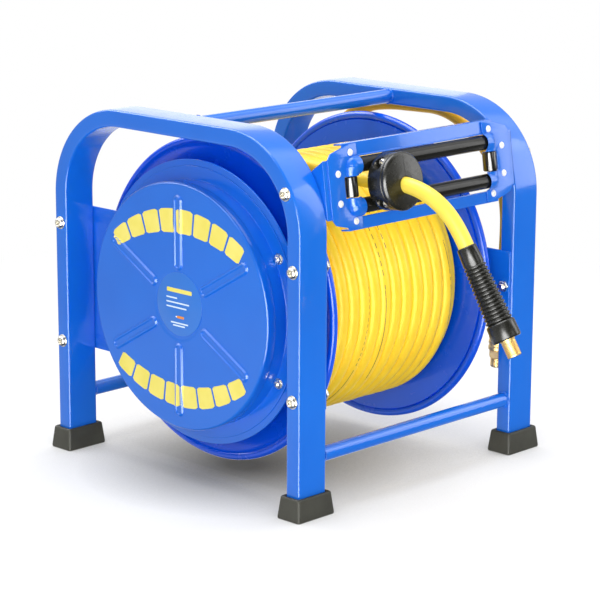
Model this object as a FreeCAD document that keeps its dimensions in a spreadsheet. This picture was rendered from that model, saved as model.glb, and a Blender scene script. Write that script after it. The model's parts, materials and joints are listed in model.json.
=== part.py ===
"""Spring-driven air hose reel on a bent-tube frame, as separate parts.

Frame of the model: X runs along the reel's axle (the spring case is at -X, the air inlet at +X),
-Y is the front, where the hose leaves through the roller guide, +Z is up and the floor is Z = 0.
"""
import FreeCAD, Part
import Sketcher
import math
import os

V = FreeCAD.Vector
X, Y, Z = V(1, 0, 0), V(0, 1, 0), V(0, 0, 1)

DIMENSIONS = {
    # bent-tube frames
    "frame_width": 450, "frame_depth": 450, "frame_height": 470,
    "tube_wide": 48, "tube_deep": 22, "tube_wall": 2, "tube_corner": 3, "bend_outer": 122,
    "bar_radius": 9.5, "bar_wall": 1.5, "handle_height": 459, "lower_bar_height": 73,
    # rubber feet
    "foot_height": 29, "foot_floor": 6, "foot_flare_top": 5, "foot_flare_bottom": 8, "foot_round": 3,
    # reel
    "axle_height": 229, "shaft_radius": 15, "shaft_bore": 5, "bearing_gap": 0.05,
    "drum_half": 140, "sheet": 2, "barrel_radius": 134.5, "flange_radius": 206, "rim_bead": 5.5,
    "hose_radius": 10, "wound_radius": 172, "wound_half": 139.5,
    "collar_radius": 32, "collar_length": 10, "bearing_radius": 19, "bearing_flange": 25,
    # support plates and spring case
    "plate": 3, "near_disc_radius": 184, "near_plate_half": 97, "far_plate_half": 47, "ear_reach": 222,
    "case_radius": 158, "case_wall": 1.5, "case_depth": 34.5, "case_flange": 176,
    "cover_radius": 159.5, "cover_sheet": 1.5, "cover_skirt": 12, "label_radius": 41.5,
    "rib_inner": 46, "rib_outer": 146, "rib_wide": 16, "rib_high": 1,
    "spring_wide": 20, "spring_strip": 1.2, "spring_start": 26, "spring_pitch": 9.6,
    # fasteners
    "bolt_radius": 4, "bolt_clearance": 0.2, "bolt_head": 7, "head_high": 4.5, "socket_radius": 2.6,
    "leg_bolt_y": 214, "leg_bolt_rise": 80, "case_screw_y": 144, "case_screw_rise": 79,
    # roller guide, in the guide's own tilted frame
    "guide_y": -222, "guide_z": 402, "guide_sheet": 2, "roller_depth": 3,
    "end_outer": 170, "end_inner": 118, "end_half": 52, "end_low": 36, "window_half": 13,
    "window_reach": 143,
    "rail_half": 141, "rail_low": 35.3, "rail_under": 37.5, "rail_high": 53, "rail_lip": 14,
    "roller_radius": 9.6, "roller_half": 130.5, "roller_rise": 25, "long_pin": 3, "long_pin_half": 139.2,
    "side_radius": 9, "side_half": 12.8, "side_x": 131, "side_pin": 2.5, "side_pin_half": 15,
    "dome_x": 128, "dome_outer": 11.8, "dome_inner": 10.6, "rivet_radius": 2.4, "rivet_head": 4.5,
    # ratchet and pawl
    "ratchet_x": 152, "ratchet_thick": 4, "ratchet_radius": 48, "ratchet_floor": 40,
    "pawl_y": 70, "pawl_drop": 20, "pawl_pin": 3,
    # air inlet
    "spigot_radius": 9, "elbow_radius": 16, "elbow_start": 184, "elbow_end": 215, "outlet_x": 200,
    "outlet_radius": 11, "nut_start": 22, "nut_end": 34,
    # hose ends
    "sleeve_length": 121, "sleeve_start": 12.2, "sleeve_waist": 16.2, "collar_outer": 18.2,
    "hose_in_sleeve": 87.2, "fitting_radius": 10, "fitting_out": 22,
    "lead_ferrule": 12.5, "lead_ferrule_length": 28, "lead_tip_radius": 9, "lead_tip_length": 24,
    "hose_bore": 6.5,
}
GUIDE_TILT = 8.0      # degrees: the guide's foot stands forward of its head
BALL_FACE = 7.2       # the ball stop's back in front of the guide's middle plane
BALL_X = -79.5
BALL_SCREW_RISE = 25.0

# centreline corners of the two free hoses
LEAD_ROUTE = [
    (200, 34.4, 229), (200.6, 79.6, 227.9), (206, 121.6, 245.6), (215, 152.3, 279.2), (226, 165.9, 322.8),
    (234, 159.8, 367.9), (238.5, 135.4, 406.4), (240.5, 97.3, 431.5), (242, 52.3, 438.9),
    (243, 6.7, 439.9), (243, -38.8, 441.3), (243, -81.8, 426), (242.4, -118.2, 398.6),
    (241.6, -144.3, 361.2), (241, -153.2, 316.5), (240.4, -153, 270.9), (240, -151.8, 225.4),
    (239.6, -152, 186.2), (240, -152, 147),
]
TAIL_ROUTE = [
    (-79.6, -213, 401.4), (-79.5, -235, 402.6), (-79.1, -261.5, 403.5), (-77.2, -285, 398.9),
    (-74, -306.8, 388.4), (-70.2, -325, 372.6), (-66.2, -339.3, 351.4), (-62.3, -352.4, 324.2),
    (-58.6, -369.4, 292), (-55.2, -387.1, 259.9),
]
# the same hose inside the reel: over the wound hose and forward to the guide
RUN_ROUTE = [
    (-74, 95, 390.5), (-75, 48, 409.5), (-76.3, -4, 412.3), (-76.2, -58, 409.6), (-77, -110, 405.4),
    (-77.8, -158, 402.2), (-79.3, -188, 401), (-79.5, -212.6, 401.5),
]

doc = FreeCAD.newDocument("hose_reel")
sheet = doc.addObject("Spreadsheet::Sheet", "Dims")
for row, (alias, number) in enumerate(DIMENSIONS.items(), start=1):
    sheet.set(f"A{row}", alias)
    sheet.set(f"B{row}", str(number))
    sheet.setAlias(f"B{row}", alias)
doc.recompute()


class Size:
    """A length that knows both its number and the sheet expression that gives it."""

    def __init__(self, number, text=None):
        self.number = float(number)
        self.text = text or f"{self.number:.6f}"

    def join(self, other, sign, number):
        return Size(number, f"({self.text} {sign} {size(other).text})")

    def __add__(self, other):
        return self.join(other, "+", self.number + float(other))

    def __sub__(self, other):
        return self.join(other, "-", self.number - float(other))

    def __mul__(self, other):
        return self.join(other, "*", self.number * float(other))

    def __truediv__(self, other):
        return self.join(other, "/", self.number / float(other))

    def __radd__(self, other):
        return size(other) + self

    def __rsub__(self, other):
        return size(other) - self

    def __rmul__(self, other):
        return size(other) * self

    def __neg__(self):
        return size(0) - self

    def __float__(self):
        return self.number


class Dims:
    """D.alias is the sheet's cell of that name, as a Size."""

    def __getattr__(self, alias):
        return Size(sheet.get(alias), f"Dims.{alias}")


D = Dims()
nodes = []


def size(value):
    return value if isinstance(value, Size) else Size(value)


def bind(obj, **sizes):
    """Binds an object's properties to the sheet."""
    for name, value in sizes.items():
        obj.setExpression(name, size(value).text)


def place(obj, base=(0, 0, 0), rotation=None):
    """Sets an object's place, with its position bound to the sheet."""
    obj.Placement = FreeCAD.Placement(V(*map(float, base)), rotation or FreeCAD.Rotation())
    for letter, value in zip("xyz", base):
        if isinstance(value, Size):
            obj.setExpression(f"Placement.Base.{letter}", value.text)
    return obj


def turn_to(axis):
    """The rotation that takes +Z to an axis."""
    return FreeCAD.Rotation(Z, V(axis))


def node(obj, label):
    """Names a finished piece: its label is its file's name."""
    obj.Label = label
    nodes.append(obj)
    return obj


def cylinder(radius, length, base=(0, 0, 0), axis=Z):
    rod = doc.addObject("Part::Cylinder", "rod")
    bind(rod, Radius=radius, Height=length)
    return place(rod, base, turn_to(axis))


def ball(radius, centre):
    sphere = doc.addObject("Part::Sphere", "ball")
    bind(sphere, Radius=radius)
    return place(sphere, centre)


def block(length, width, height, base, rotation=None):
    box = doc.addObject("Part::Box", "block")
    bind(box, Length=length, Width=width, Height=height)
    return place(box, base, rotation)


def ring(big, small, centre, axis=X):
    torus = doc.addObject("Part::Torus", "ring")
    bind(torus, Radius1=big, Radius2=small)
    return place(torus, centre, turn_to(axis))


def fuse(*shapes):
    joined = doc.addObject("Part::MultiFuse", "joined")
    joined.Shapes = list(shapes)
    return joined


def group(*shapes):
    """Separate solids that share one node."""
    pieces = doc.addObject("Part::Compound", "pieces")
    pieces.Links = list(shapes)
    return pieces


def cut(base, *tools):
    less = doc.addObject("Part::Cut", "less")
    less.Base = base
    less.Tool = tools[0] if len(tools) == 1 else fuse(*tools)
    return less


def common(one, other):
    shared = doc.addObject("Part::MultiCommon", "shared")
    shared.Shapes = [one, other]
    return shared


def pipe(outer, inner, length, base=(0, 0, 0), axis=Z):
    """A round tube."""
    return cut(cylinder(outer, length, base, axis), cylinder(inner, length, base, axis))


def origin_plane(body, role):
    return next(f for f in body.Origin.OriginFeatures if f.Role == role)


def hold(sketch, kind, corner, value, index):
    """Fixes one coordinate of a sketch's corner, bound to the sheet."""
    value = size(value)
    if value.number == 0:
        axis = -2 if kind == "DistanceX" else -1
        sketch.addConstraint(Sketcher.Constraint("PointOnObject", corner, 1, axis))
        return
    ends = (-1, 1, corner, 1) if value.number > 0 else (corner, 1, -1, 1)
    name = f"{kind[-1].lower()}{index}"
    number = sketch.addConstraint(Sketcher.Constraint(kind, *ends, abs(value.number)))
    sketch.renameConstraint(number, name)
    sketch.setExpression(f"Constraints.{name}", (value if value.number > 0 else -value).text)


def outline(body, points, role):
    """A closed straight-sided sketch on one of a body's own planes."""
    sketch = body.newObject("Sketcher::SketchObject", "outline")
    sketch.AttachmentSupport = (origin_plane(body, role), [""])
    sketch.MapMode = "FlatFace"
    spots = [V(float(u), float(v), 0) for u, v in points]
    for start, end in zip(spots, spots[1:] + spots[:1]):
        sketch.addGeometry(Part.LineSegment(start, end), False)
    for i in range(len(points)):
        sketch.addConstraint(Sketcher.Constraint("Coincident", i, 2, (i + 1) % len(points), 1))
    for i, (u, v) in enumerate(points):
        hold(sketch, "DistanceX", i, u, i)
        hold(sketch, "DistanceY", i, v, i)
    return sketch


def turned(points, base=(0, 0, 0), axis=X):
    """A solid of revolution from (radius, distance along the axis) corners."""
    body = doc.addObject("PartDesign::Body", "turned")
    sketch = outline(body, points, "XZ_Plane")
    turn = body.newObject("PartDesign::Revolution", "turn")
    turn.Profile = sketch
    turn.ReferenceAxis = (sketch, ["V_Axis"])
    turn.Angle = 360
    sketch.Visibility = False
    return place(body, base, turn_to(axis))


def slab(points, thickness, base=(0, 0, 0), role="YZ_Plane"):
    """A straight-sided plate: in YZ it grows to +X, in XZ to -Y, in XY to +Z."""
    body = doc.addObject("PartDesign::Body", "slab")
    pad = body.newObject("PartDesign::Pad", "pad")
    pad.Profile = outline(body, points, role)
    bind(pad, Length=thickness)
    return place(body, base)


def round_edges(body, radius, chosen):
    """Rounds the edges of a body that a test picks out."""
    doc.recompute()
    tip = body.Tip
    names = [f"Edge{i}" for i, edge in enumerate(tip.Shape.Edges, start=1) if chosen(edge)]
    rounding = body.newObject("PartDesign::Fillet", "rounding")
    rounding.Base = (tip, names)
    bind(rounding, Radius=radius)
    doc.recompute()


def along_x(edge):
    a, b = (v.Point for v in edge.Vertexes)
    return abs(a.y - b.y) < 1e-6 and abs(a.z - b.z) < 1e-6


# ---------------------------------------------------------------- frame

def bent_bar(inset, wide, foot):
    """An inverted U of rectangular section, inset from the tube's outside, in the YZ plane."""
    reach, top = D.frame_depth / 2 - inset, D.frame_height - inset
    inner, under = D.frame_depth / 2 - D.tube_deep + inset, D.frame_height - D.tube_deep + inset
    body = slab(
        [(-reach, foot), (-reach, top), (reach, top), (reach, foot),
         (inner, foot), (inner, under), (-inner, under), (-inner, foot)],
        wide)
    high = float(D.frame_height) - float(D.tube_deep) * 2
    span = float(reach) - 1
    round_edges(body, D.bend_outer - inset,
                lambda e: along_x(e) and e.Vertexes[0].Y ** 2 > span ** 2 and e.Vertexes[0].Z > high)
    round_edges(body, D.bend_outer - D.tube_deep + inset,
                lambda e: along_x(e) and e.Vertexes[0].Y ** 2 < span ** 2 and e.Vertexes[0].Z > high)
    return body


def frame_tube(side, bolt_rises, label):
    """One frame of the pair: side is -1 at the spring case and +1 at the air inlet."""
    start = D.frame_width / 2 - D.tube_wide if side > 0 else -D.frame_width / 2
    outside = bent_bar(0, D.tube_wide, D.foot_floor)
    floor = float(D.foot_floor)
    wide = float(D.tube_wide)
    round_edges(outside, D.tube_corner,
                lambda e: all(abs(v.X) < 1e-6 for v in e.Vertexes) and any(v.Z > floor + 1 for v in e.Vertexes)
                or all(abs(v.X - wide) < 1e-6 for v in e.Vertexes) and any(v.Z > floor + 1 for v in e.Vertexes))
    place(outside, (start, 0, 0))
    hollow = bent_bar(D.tube_wall, D.tube_wide - 2 * D.tube_wall, D.foot_floor - 1)
    place(hollow, (start + D.tube_wall, 0, 0))
    hole = D.bolt_radius + D.bolt_clearance
    holes = [cylinder(hole, D.tube_wide, (start, y, D.axle_height + rise), X)
             for y in (-D.leg_bolt_y, D.leg_bolt_y) for rise in bolt_rises]
    holes.append(cylinder(hole, D.tube_wide, (start, guide_bolt.y, guide_bolt.z), X))
    return node(cut(cut(outside, hollow), *holes), label)


def cross_bar(y, height, label):
    """A round tube welded between the inboard faces of the two frames."""
    inboard = D.frame_width / 2 - D.tube_wide
    bar = pipe(D.bar_radius, D.bar_radius - D.bar_wall, 2 * inboard, (-inboard, y, height), X)
    return node(bar, label)


def foot(side, end, label):
    """A rubber cap under one leg, wider at the floor, with the tube's end standing in it."""
    centre_x = side * (D.frame_width / 2 - D.tube_wide / 2)
    centre_y = end * (D.frame_depth / 2 - D.tube_deep / 2)
    half_x, half_y = D.tube_wide / 2, D.tube_deep / 2
    taper = doc.addObject("Part::Wedge", "taper")
    low, high = D.foot_flare_bottom, D.foot_flare_top
    bind(taper, Xmin=-half_x - low, Xmax=half_x + low, Zmin=-half_y - low, Zmax=half_y + low,
         Ymin=0, Ymax=D.foot_height, X2min=-half_x - high, X2max=half_x + high,
         Z2min=-half_y - high, Z2max=half_y + high)
    place(taper, (centre_x, centre_y, 0), FreeCAD.Rotation(X, 90))
    doc.recompute()
    rounded = doc.addObject("Part::Fillet", "rounded")
    rounded.Base = taper
    slant = [i for i, e in enumerate(taper.Shape.Edges, start=1)
             if abs(e.Vertexes[0].Z - e.Vertexes[1].Z) > 1]
    rounded.Edges = [(i, float(D.foot_round), float(D.foot_round)) for i in slant]
    pocket = block(D.tube_wide, D.tube_deep, D.foot_height,
                   (centre_x - half_x, centre_y - half_y, D.foot_floor))
    return node(cut(rounded, pocket), label)


# ---------------------------------------------------------------- supports and spring case

def support_plate(side, disc, half, bolt_rises, screw_holes, label):
    """A sheet plate bolted to the inboard faces of one frame's legs, holding a bearing."""
    inboard = D.frame_width / 2 - D.tube_wide
    face = inboard - D.plate if side > 0 else -inboard
    strap = block(D.plate, 2 * D.ear_reach, 2 * half, (face, -D.ear_reach, D.axle_height - half))
    sheet_part = fuse(strap, cylinder(disc, D.plate, (face, 0, D.axle_height), X)) if disc else strap
    hole = D.bolt_radius + D.bolt_clearance
    holes = [cylinder(hole, D.plate, (face, y, D.axle_height + rise), X)
             for y in (-D.leg_bolt_y, D.leg_bolt_y) for rise in bolt_rises]
    holes += [cylinder(3.2, D.plate, (face, y, D.axle_height + rise), X) for y, rise in screw_holes]
    holes.append(cylinder(D.bearing_radius, D.plate, (face, 0, D.axle_height), X))
    return node(cut(sheet_part, *holes), label)


def bearing(side, label):
    """A flanged bush in a support plate, with a running fit on the shaft."""
    inboard = float(D.frame_width) / 2 - float(D.tube_wide)
    plate = float(D.plate)
    bore = D.shaft_radius + D.bearing_gap
    points = [(bore, 0), (D.bearing_radius, 0), (D.bearing_radius, D.plate + 1),
              (D.bearing_flange, D.plate + 1), (D.bearing_flange, D.plate + 4),
              (D.bearing_radius, D.plate + 4), (D.bearing_radius, D.plate + 13), (bore, D.plate + 13)]
    start = side * (inboard + 1)
    axis = V(-side, 0, 0)
    return node(turned(points, (start, 0, D.axle_height), axis), label)


def spring_case():
    """A shallow flanged cup on the outboard face of the near support plate."""
    inboard = D.frame_width / 2 - D.tube_wide
    wall = D.case_radius - D.case_wall
    points = [(wall, 0), (D.case_flange, 0), (D.case_flange, D.case_wall), (D.case_radius, D.case_wall),
              (D.case_radius, D.case_depth), (wall, D.case_depth)]
    cup = turned(points, (-inboard, 0, D.axle_height), V(-1, 0, 0))
    holes = [cylinder(3.2, D.case_wall, (-inboard - D.case_wall, y, D.axle_height + rise), X)
             for y, rise in case_screws]
    return node(cut(cup, *holes), "spring_case")


def spring_cover():
    """The lid of the spring case: a disc with a skirt and six raised ribs."""
    inboard = D.frame_width / 2 - D.tube_wide
    seat = D.case_depth
    points = [(0, seat), (D.case_radius, seat), (D.case_radius, seat - D.cover_skirt),
              (D.cover_radius, seat - D.cover_skirt), (D.cover_radius, seat - 0.5),
              (D.cover_radius - 2, seat + D.cover_sheet), (0, seat + D.cover_sheet)]
    lid = turned(points, (-inboard, 0, D.axle_height), V(-1, 0, 0))
    half = D.rib_wide / 2
    ribs = []
    for step in range(6):
        spin = FreeCAD.Rotation(X, 60 * step)
        face = float(-inboard - seat - D.cover_sheet - D.rib_high)
        start, end = float(D.rib_inner + half), float(D.rib_outer - half)
        low = spin.multVec(V(0, 0, start)) + V(face, 0, float(D.axle_height))
        high = spin.multVec(V(0, 0, end)) + V(face, 0, float(D.axle_height))
        corner = spin.multVec(V(0, -float(half), start)) + V(face, 0, float(D.axle_height))
        ribs += [cylinder(half, D.rib_high, tuple(low), X), cylinder(half, D.rib_high, tuple(high), X),
                 block(D.rib_high, D.rib_wide, D.rib_outer - D.rib_inner - D.rib_wide, tuple(corner), spin)]
    return node(fuse(lid, *ribs), "spring_case_cover")


def cover_label():
    """A plain round plate stuck on the middle of the cover."""
    face = -(D.frame_width / 2 - D.tube_wide) - D.case_depth - D.cover_sheet
    return node(cylinder(D.label_radius, 0.4, (face - 0.4, -2, D.axle_height + 4), X), "cover_label")


def power_spring():
    """A flat strip wound in half circles, each a little larger than the last."""
    strip, step = float(D.spring_strip), float(D.spring_pitch) / 2
    inner, outer = [], []
    centre, radius, side = 0.0, float(D.spring_start), 1
    for _ in range(51):
        ends = [(centre + side * radius, 0), (centre, side * radius), (centre - side * radius, 0)]
        inner.append([V(0, y, z) for y, z in ends])
        grown = radius + strip
        ends = [(centre + side * grown, 0), (centre, side * grown), (centre - side * grown, 0)]
        outer.append([V(0, y, z) for y, z in ends])
        centre += side * step / 2
        radius += step / 2
        side = -side
    edges = [Part.Arc(*points).toShape() for points in inner]
    back = [Part.Arc(*points).toShape() for points in outer]
    ends = [Part.LineSegment(inner[0][0], outer[0][0]).toShape(),
            Part.LineSegment(inner[-1][2], outer[-1][2]).toShape()]
    face = Part.Face(Part.Wire(Part.__sortEdges__(edges + back + ends)))
    coil = doc.addObject("Part::Feature", "coil")
    coil.Shape = face.extrude(V(float(D.spring_wide), 0, 0))
    start = -(float(D.frame_width) / 2 - float(D.tube_wide)) - 24.5
    coil.Placement = FreeCAD.Placement(V(start, 0, float(D.axle_height)), FreeCAD.Rotation())
    return node(coil, "power_spring")


# ---------------------------------------------------------------- reel

def shaft():
    """The hollow shaft, with a spigot at the inlet end, on which the inlet elbow swivels."""
    start = -(D.frame_width / 2 - D.tube_wide) - 22
    spigot_start, end = D.elbow_start - 4, D.elbow_end - 5
    points = [(0, start), (D.shaft_radius, start), (D.shaft_radius, spigot_start),
              (D.spigot_radius, spigot_start), (D.spigot_radius, end), (0, end)]
    solid = turned(points, (0, 0, D.axle_height), X)
    bore = cylinder(D.shaft_bore, end - 50, (50, 0, D.axle_height), X)
    grooves = [cut(cylinder(D.spigot_radius + 1, 3, (x, 0, D.axle_height), X),
                   cylinder(D.spigot_radius - 1.5, 3, (x, 0, D.axle_height), X)) for x in seal_places]
    port = cylinder(D.shaft_bore, 20, (60, 0, D.axle_height), Z)
    return node(cut(solid, bore, port, *grooves), "hollow_shaft")


def flange(side, label):
    """A pressed side disc with a raised step and a rolled rim."""
    rim, bead = D.flange_radius, D.rim_bead
    lift = 5
    points = [(D.shaft_radius, 0), (184, 0), (192, lift), (rim, lift), (rim, lift + D.sheet),
              (191, lift + D.sheet), (183, D.sheet), (D.shaft_radius, D.sheet)]
    disc = turned(points, (side * D.drum_half, 0, D.axle_height), V(side, 0, 0))
    edge = ring(rim, bead, (side * (D.drum_half + lift + 1), 0, D.axle_height))
    return node(fuse(disc, edge), label)


def barrel():
    start = -D.drum_half
    tube = pipe(D.barrel_radius, D.barrel_radius - D.sheet, 2 * D.drum_half, (start, 0, D.axle_height), X)
    return node(tube, "drum_barrel")


def wound_hose():
    """The closed outer shape of the hose on the drum."""
    pack = pipe(D.wound_radius, D.barrel_radius, 2 * D.wound_half, (-D.wound_half, 0, D.axle_height), X)
    return node(pack, "hose_winding")


def collar(side, label):
    start = side * (D.drum_half + D.sheet)
    hub = turned([(D.shaft_radius, 0), (D.collar_radius, 0), (D.collar_radius - 4, D.collar_length),
                  (D.shaft_radius, D.collar_length)], (start, 0, D.axle_height), V(side, 0, 0))
    return node(hub, label)


def spring_arbor():
    """The sleeve on the shaft that winds the power spring."""
    start = -(D.frame_width / 2 - D.tube_wide) - 21
    sleeve = pipe(22, D.shaft_radius, 18, (start, 0, D.axle_height), X)
    notch = block(18, 3, 6, (start, -1.5, D.axle_height + 18))
    return node(cut(sleeve, notch), "spring_arbor")


def ratchet_wheel():
    disc = pipe(D.ratchet_radius, D.shaft_radius, D.ratchet_thick, (D.ratchet_x, 0, D.axle_height), X)
    notches = []
    for step in range(8):
        spin = FreeCAD.Rotation(X, 7 + 45 * step)
        corner = spin.multVec(V(0, float(D.ratchet_floor), -8)) + V(float(D.ratchet_x), 0, float(D.axle_height))
        notches.append(block(D.ratchet_thick, 20, 16, tuple(corner), spin))
    return node(cut(disc, *notches), "ratchet_wheel")


def outlet_pipe():
    """The pipe inside the drum that carries air from the shaft to the hose."""
    start = D.axle_height + D.shaft_radius
    bent = pipe(8, D.shaft_bore, D.barrel_radius - D.sheet - D.shaft_radius, (60, 0, start), Z)
    saddle = cylinder(D.shaft_radius, 40, (40, 0, D.axle_height), X)
    inside = cylinder(D.barrel_radius - D.sheet, 40, (40, 0, D.axle_height), X)
    return node(common(cut(bent, saddle), inside), "drum_outlet_pipe")


def pawl():
    """The catch that drops into the ratchet wheel, turned clear of it."""
    rise = D.axle_height
    points = [(63, rise - 27), (77, rise - 27), (79, rise - 14), (66, rise + 2), (55, rise + 15),
              (48.6, rise + 12.5), (50.2, rise + 6.5), (60, rise - 12)]
    blade = slab(points, D.ratchet_thick, (D.ratchet_x, 0, 0))
    hole = cylinder(D.pawl_pin + D.bearing_gap, D.ratchet_thick,
                    (D.ratchet_x, D.pawl_y, rise - D.pawl_drop), X)
    return node(cut(blade, hole), "pawl")


def pawl_pin():
    inboard = D.frame_width / 2 - D.tube_wide - D.plate
    low = D.axle_height - D.pawl_drop
    head = cylinder(5.5, 2, (D.ratchet_x - 3, D.pawl_y, low), X)
    rod = cylinder(D.pawl_pin, inboard - D.ratchet_x + 2, (D.ratchet_x - 2, D.pawl_y, low), X)
    return node(fuse(head, rod), "pawl_pin")


def pawl_spring():
    """A small torsion spring round the pawl's pin, as closed coils."""
    low = D.axle_height - D.pawl_drop
    coils = [ring(5.4, 0.9, (D.ratchet_x + D.ratchet_thick + 2.5 + 1.6 * i, D.pawl_y, low)) for i in range(6)]
    return node(fuse(*coils), "pawl_spring")


# ---------------------------------------------------------------- fasteners

def screw(base, reach, direction, radius, head, high, nut):
    """A round-headed socket screw; base is under its head and it points along direction."""
    direction, base = V(direction), V(*map(float, base))
    back = base - direction * float(high)
    cap = cylinder(head, high, tuple(back), direction)
    socket = cylinder(D.socket_radius, float(high) / 2, tuple(back), direction)
    parts = [cut(cap, socket), cylinder(radius, reach, tuple(base), direction)]
    if nut:
        prism = doc.addObject("Part::Prism", "nut")
        prism.Polygon = 6
        bind(prism, Circumradius=size(radius) * 1.8, Height=size(radius) * 1.4)
        end = base + direction * (float(reach) - 2 - float(radius) * 1.4)
        parts.append(place(prism, tuple(end), turn_to(direction)))
    return fuse(*parts)


def leg_bolts():
    """The bolts through the legs that hold the support plates and the guide's brackets."""
    outboard = D.frame_width / 2
    places = [(-1, y, rise) for y in (-D.leg_bolt_y, D.leg_bolt_y) for rise in leg_rises]
    places += [(1, y, size(0)) for y in (-D.leg_bolt_y, D.leg_bolt_y)]
    bolts = [screw((side * outboard, y, D.axle_height + rise), D.tube_wide + D.plate + 2 + D.bolt_radius * 1.4,
                   V(-side, 0, 0), D.bolt_radius, D.bolt_head, D.head_high, True) for side, y, rise in places]
    bolts += [screw((side * outboard, guide_bolt.y, guide_bolt.z),
                    D.tube_wide + D.guide_sheet + 2 + D.bolt_radius * 1.4,
                    V(-side, 0, 0), D.bolt_radius, D.bolt_head, D.head_high, True) for side in (-1, 1)]
    return node(group(*bolts), "leg_bolts")


def case_screw_set():
    face = -(D.frame_width / 2 - D.tube_wide) - D.case_wall
    reach = D.case_wall + D.plate + 2 + 3 * 1.4
    screws = [screw((face, y, D.axle_height + rise), reach, X, 3, 5, 3, True) for y, rise in case_screws]
    return node(group(*screws), "case_screws")


# ---------------------------------------------------------------- roller guide

guide_turn = FreeCAD.Rotation(X, -GUIDE_TILT)
guide_frame = FreeCAD.Placement(V(0, float(D.guide_y), float(D.guide_z)), guide_turn)
# the bolt through the leg's bend, at the middle of the tube
guide_bolt = V(0, -201, 402)
bolt_in_guide = guide_frame.inverse().multVec(guide_bolt)


def in_guide(obj, label):
    """Stands a finished guide part, built about the guide's own origin, in its tilted place."""
    place(obj, (0, D.guide_y, D.guide_z), guide_turn)
    return node(obj, label)


def end_plate(side, label):
    """A stamped front plate with a window for the side roller and a dome over each long roller's end."""
    e = D
    half = [(e.end_inner, e.window_half), (e.window_reach, e.window_half), (e.window_reach, -e.window_half),
            (e.end_inner, -e.window_half), (e.end_inner, -e.end_half), (e.end_inner + 12, -e.end_half),
            (e.end_outer - 6, -e.end_low - 7), (e.end_outer, -e.end_low), (e.end_outer, e.end_low),
            (e.end_outer - 6, e.end_low + 7), (e.end_inner + 12, e.end_half), (e.end_inner, e.end_half)]
    flat = slab([(side * u, v) for u, v in half], e.guide_sheet, (0, e.guide_sheet, 0), "XZ_Plane")
    shells, rooms = [], []
    for end in (-1, 1):
        centre = (side * e.dome_x, e.roller_depth, end * e.roller_rise)
        inward = V(-side, 0, 0)
        reach = e.dome_x - e.end_inner
        shells += [ball(e.dome_outer, centre), cylinder(e.dome_outer, reach, centre, inward),
                   cylinder(e.dome_outer - 1, e.roller_rise - e.window_half, centre, Z * -end)]
        rooms += [ball(e.dome_inner, centre), cylinder(e.dome_inner, reach + 3, centre, inward)]
    front = block(60, 40, 120, (e.end_inner if side > 0 else -e.end_inner - 60, -38, -60))
    body = cut(fuse(flat, common(fuse(*shells), front)), *rooms)
    first = 112 if side > 0 else -142
    pins = [cylinder(e.long_pin + e.bearing_gap, 30, (first, e.roller_depth, end * e.roller_rise), X)
            for end in (-1, 1)]
    pins.append(cylinder(e.side_pin + e.bearing_gap, 40, (side * e.side_x, e.roller_depth, -20), Z))
    window = block(e.window_reach - e.end_inner + 4, 20, 2 * e.window_half,
                   (e.end_inner - 4 if side > 0 else -e.window_reach, -12, -e.window_half))
    holes = [cylinder(e.rivet_radius, 4, (u, -1, v), Y) for u, v in rivets if u * side > 0]
    return in_guide(cut(body, window, *pins, *holes), label)


def bracket(side, label):
    """The angle that carries one end of the guide on a leg's inboard face."""
    inboard = D.frame_width / 2 - D.tube_wide
    layer = D.guide_sheet
    flat = [(146, -D.end_low), (inboard, -D.end_low), (inboard, D.end_low), (146, D.end_low)]
    front = slab([(side * u, v) for u, v in flat], layer, (0, 2 * layer, 0), "XZ_Plane")
    cheek = slab([(layer, D.end_low), (34, 18), (34, -18), (layer, -D.end_low)], layer,
                 (inboard - layer if side > 0 else -inboard, 0, 0))
    holes = [cylinder(D.rivet_radius, 4, (u, 1, v), Y) for u, v in rivets if u * side > 0 and abs(v) < 30]
    holes.append(cylinder(D.bolt_radius + D.bolt_clearance, 2 * layer,
                          (side * inboard - layer, bolt_in_guide.y, bolt_in_guide.z), X))
    return in_guide(cut(fuse(front, cheek), *holes), label)


def rail(end, label):
    """An angle rail above or below the long rollers."""
    layer = D.guide_sheet
    inner = D.rail_low if end > 0 else D.rail_under
    low = inner if end > 0 else -D.rail_high
    face = block(2 * D.rail_half, layer, D.rail_high - inner, (-D.rail_half, layer, low))
    edge = D.rail_high - layer if end > 0 else -D.rail_high
    lip = block(2 * D.rail_half, D.rail_lip, layer, (-D.rail_half, layer, edge))
    holes = [cylinder(D.rivet_radius, 4, (u, 1, v), Y) for u, v in rivets if v * end > 30]
    return in_guide(cut(fuse(face, lip), *holes), label)


def rivet_set():
    layer = D.guide_sheet
    heads = []
    for u, v in rivets:
        head = [(0, -2), (2.5, -1.8), (D.rivet_head - 0.6, -1), (D.rivet_head, 0), (0, 0)]
        cap = turned(head, (u, 0, v), Y)
        rod = cylinder(D.rivet_radius, 2 * layer + 1.5, (u, 0, v), Y)
        tail = cylinder(D.rivet_radius + 1.2, 1.5, (u, 2 * layer, v), Y)
        heads.append(fuse(cap, rod, tail))
    return in_guide(group(*heads), "guide_rivets")


def long_roller(end, label):
    gap = D.long_pin + D.bearing_gap
    tube = pipe(D.roller_radius, gap, 2 * D.roller_half, (-D.roller_half, D.roller_depth, end * D.roller_rise), X)
    return in_guide(tube, label)


def side_roller(side, label):
    gap = D.side_pin + D.bearing_gap
    tube = pipe(D.side_radius, gap, 2 * D.side_half, (side * D.side_x, D.roller_depth, -D.side_half), Z)
    return in_guide(tube, label)


def pin_set(label, pins):
    return in_guide(group(*pins), label)


# ---------------------------------------------------------------- air inlet and hoses

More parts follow.
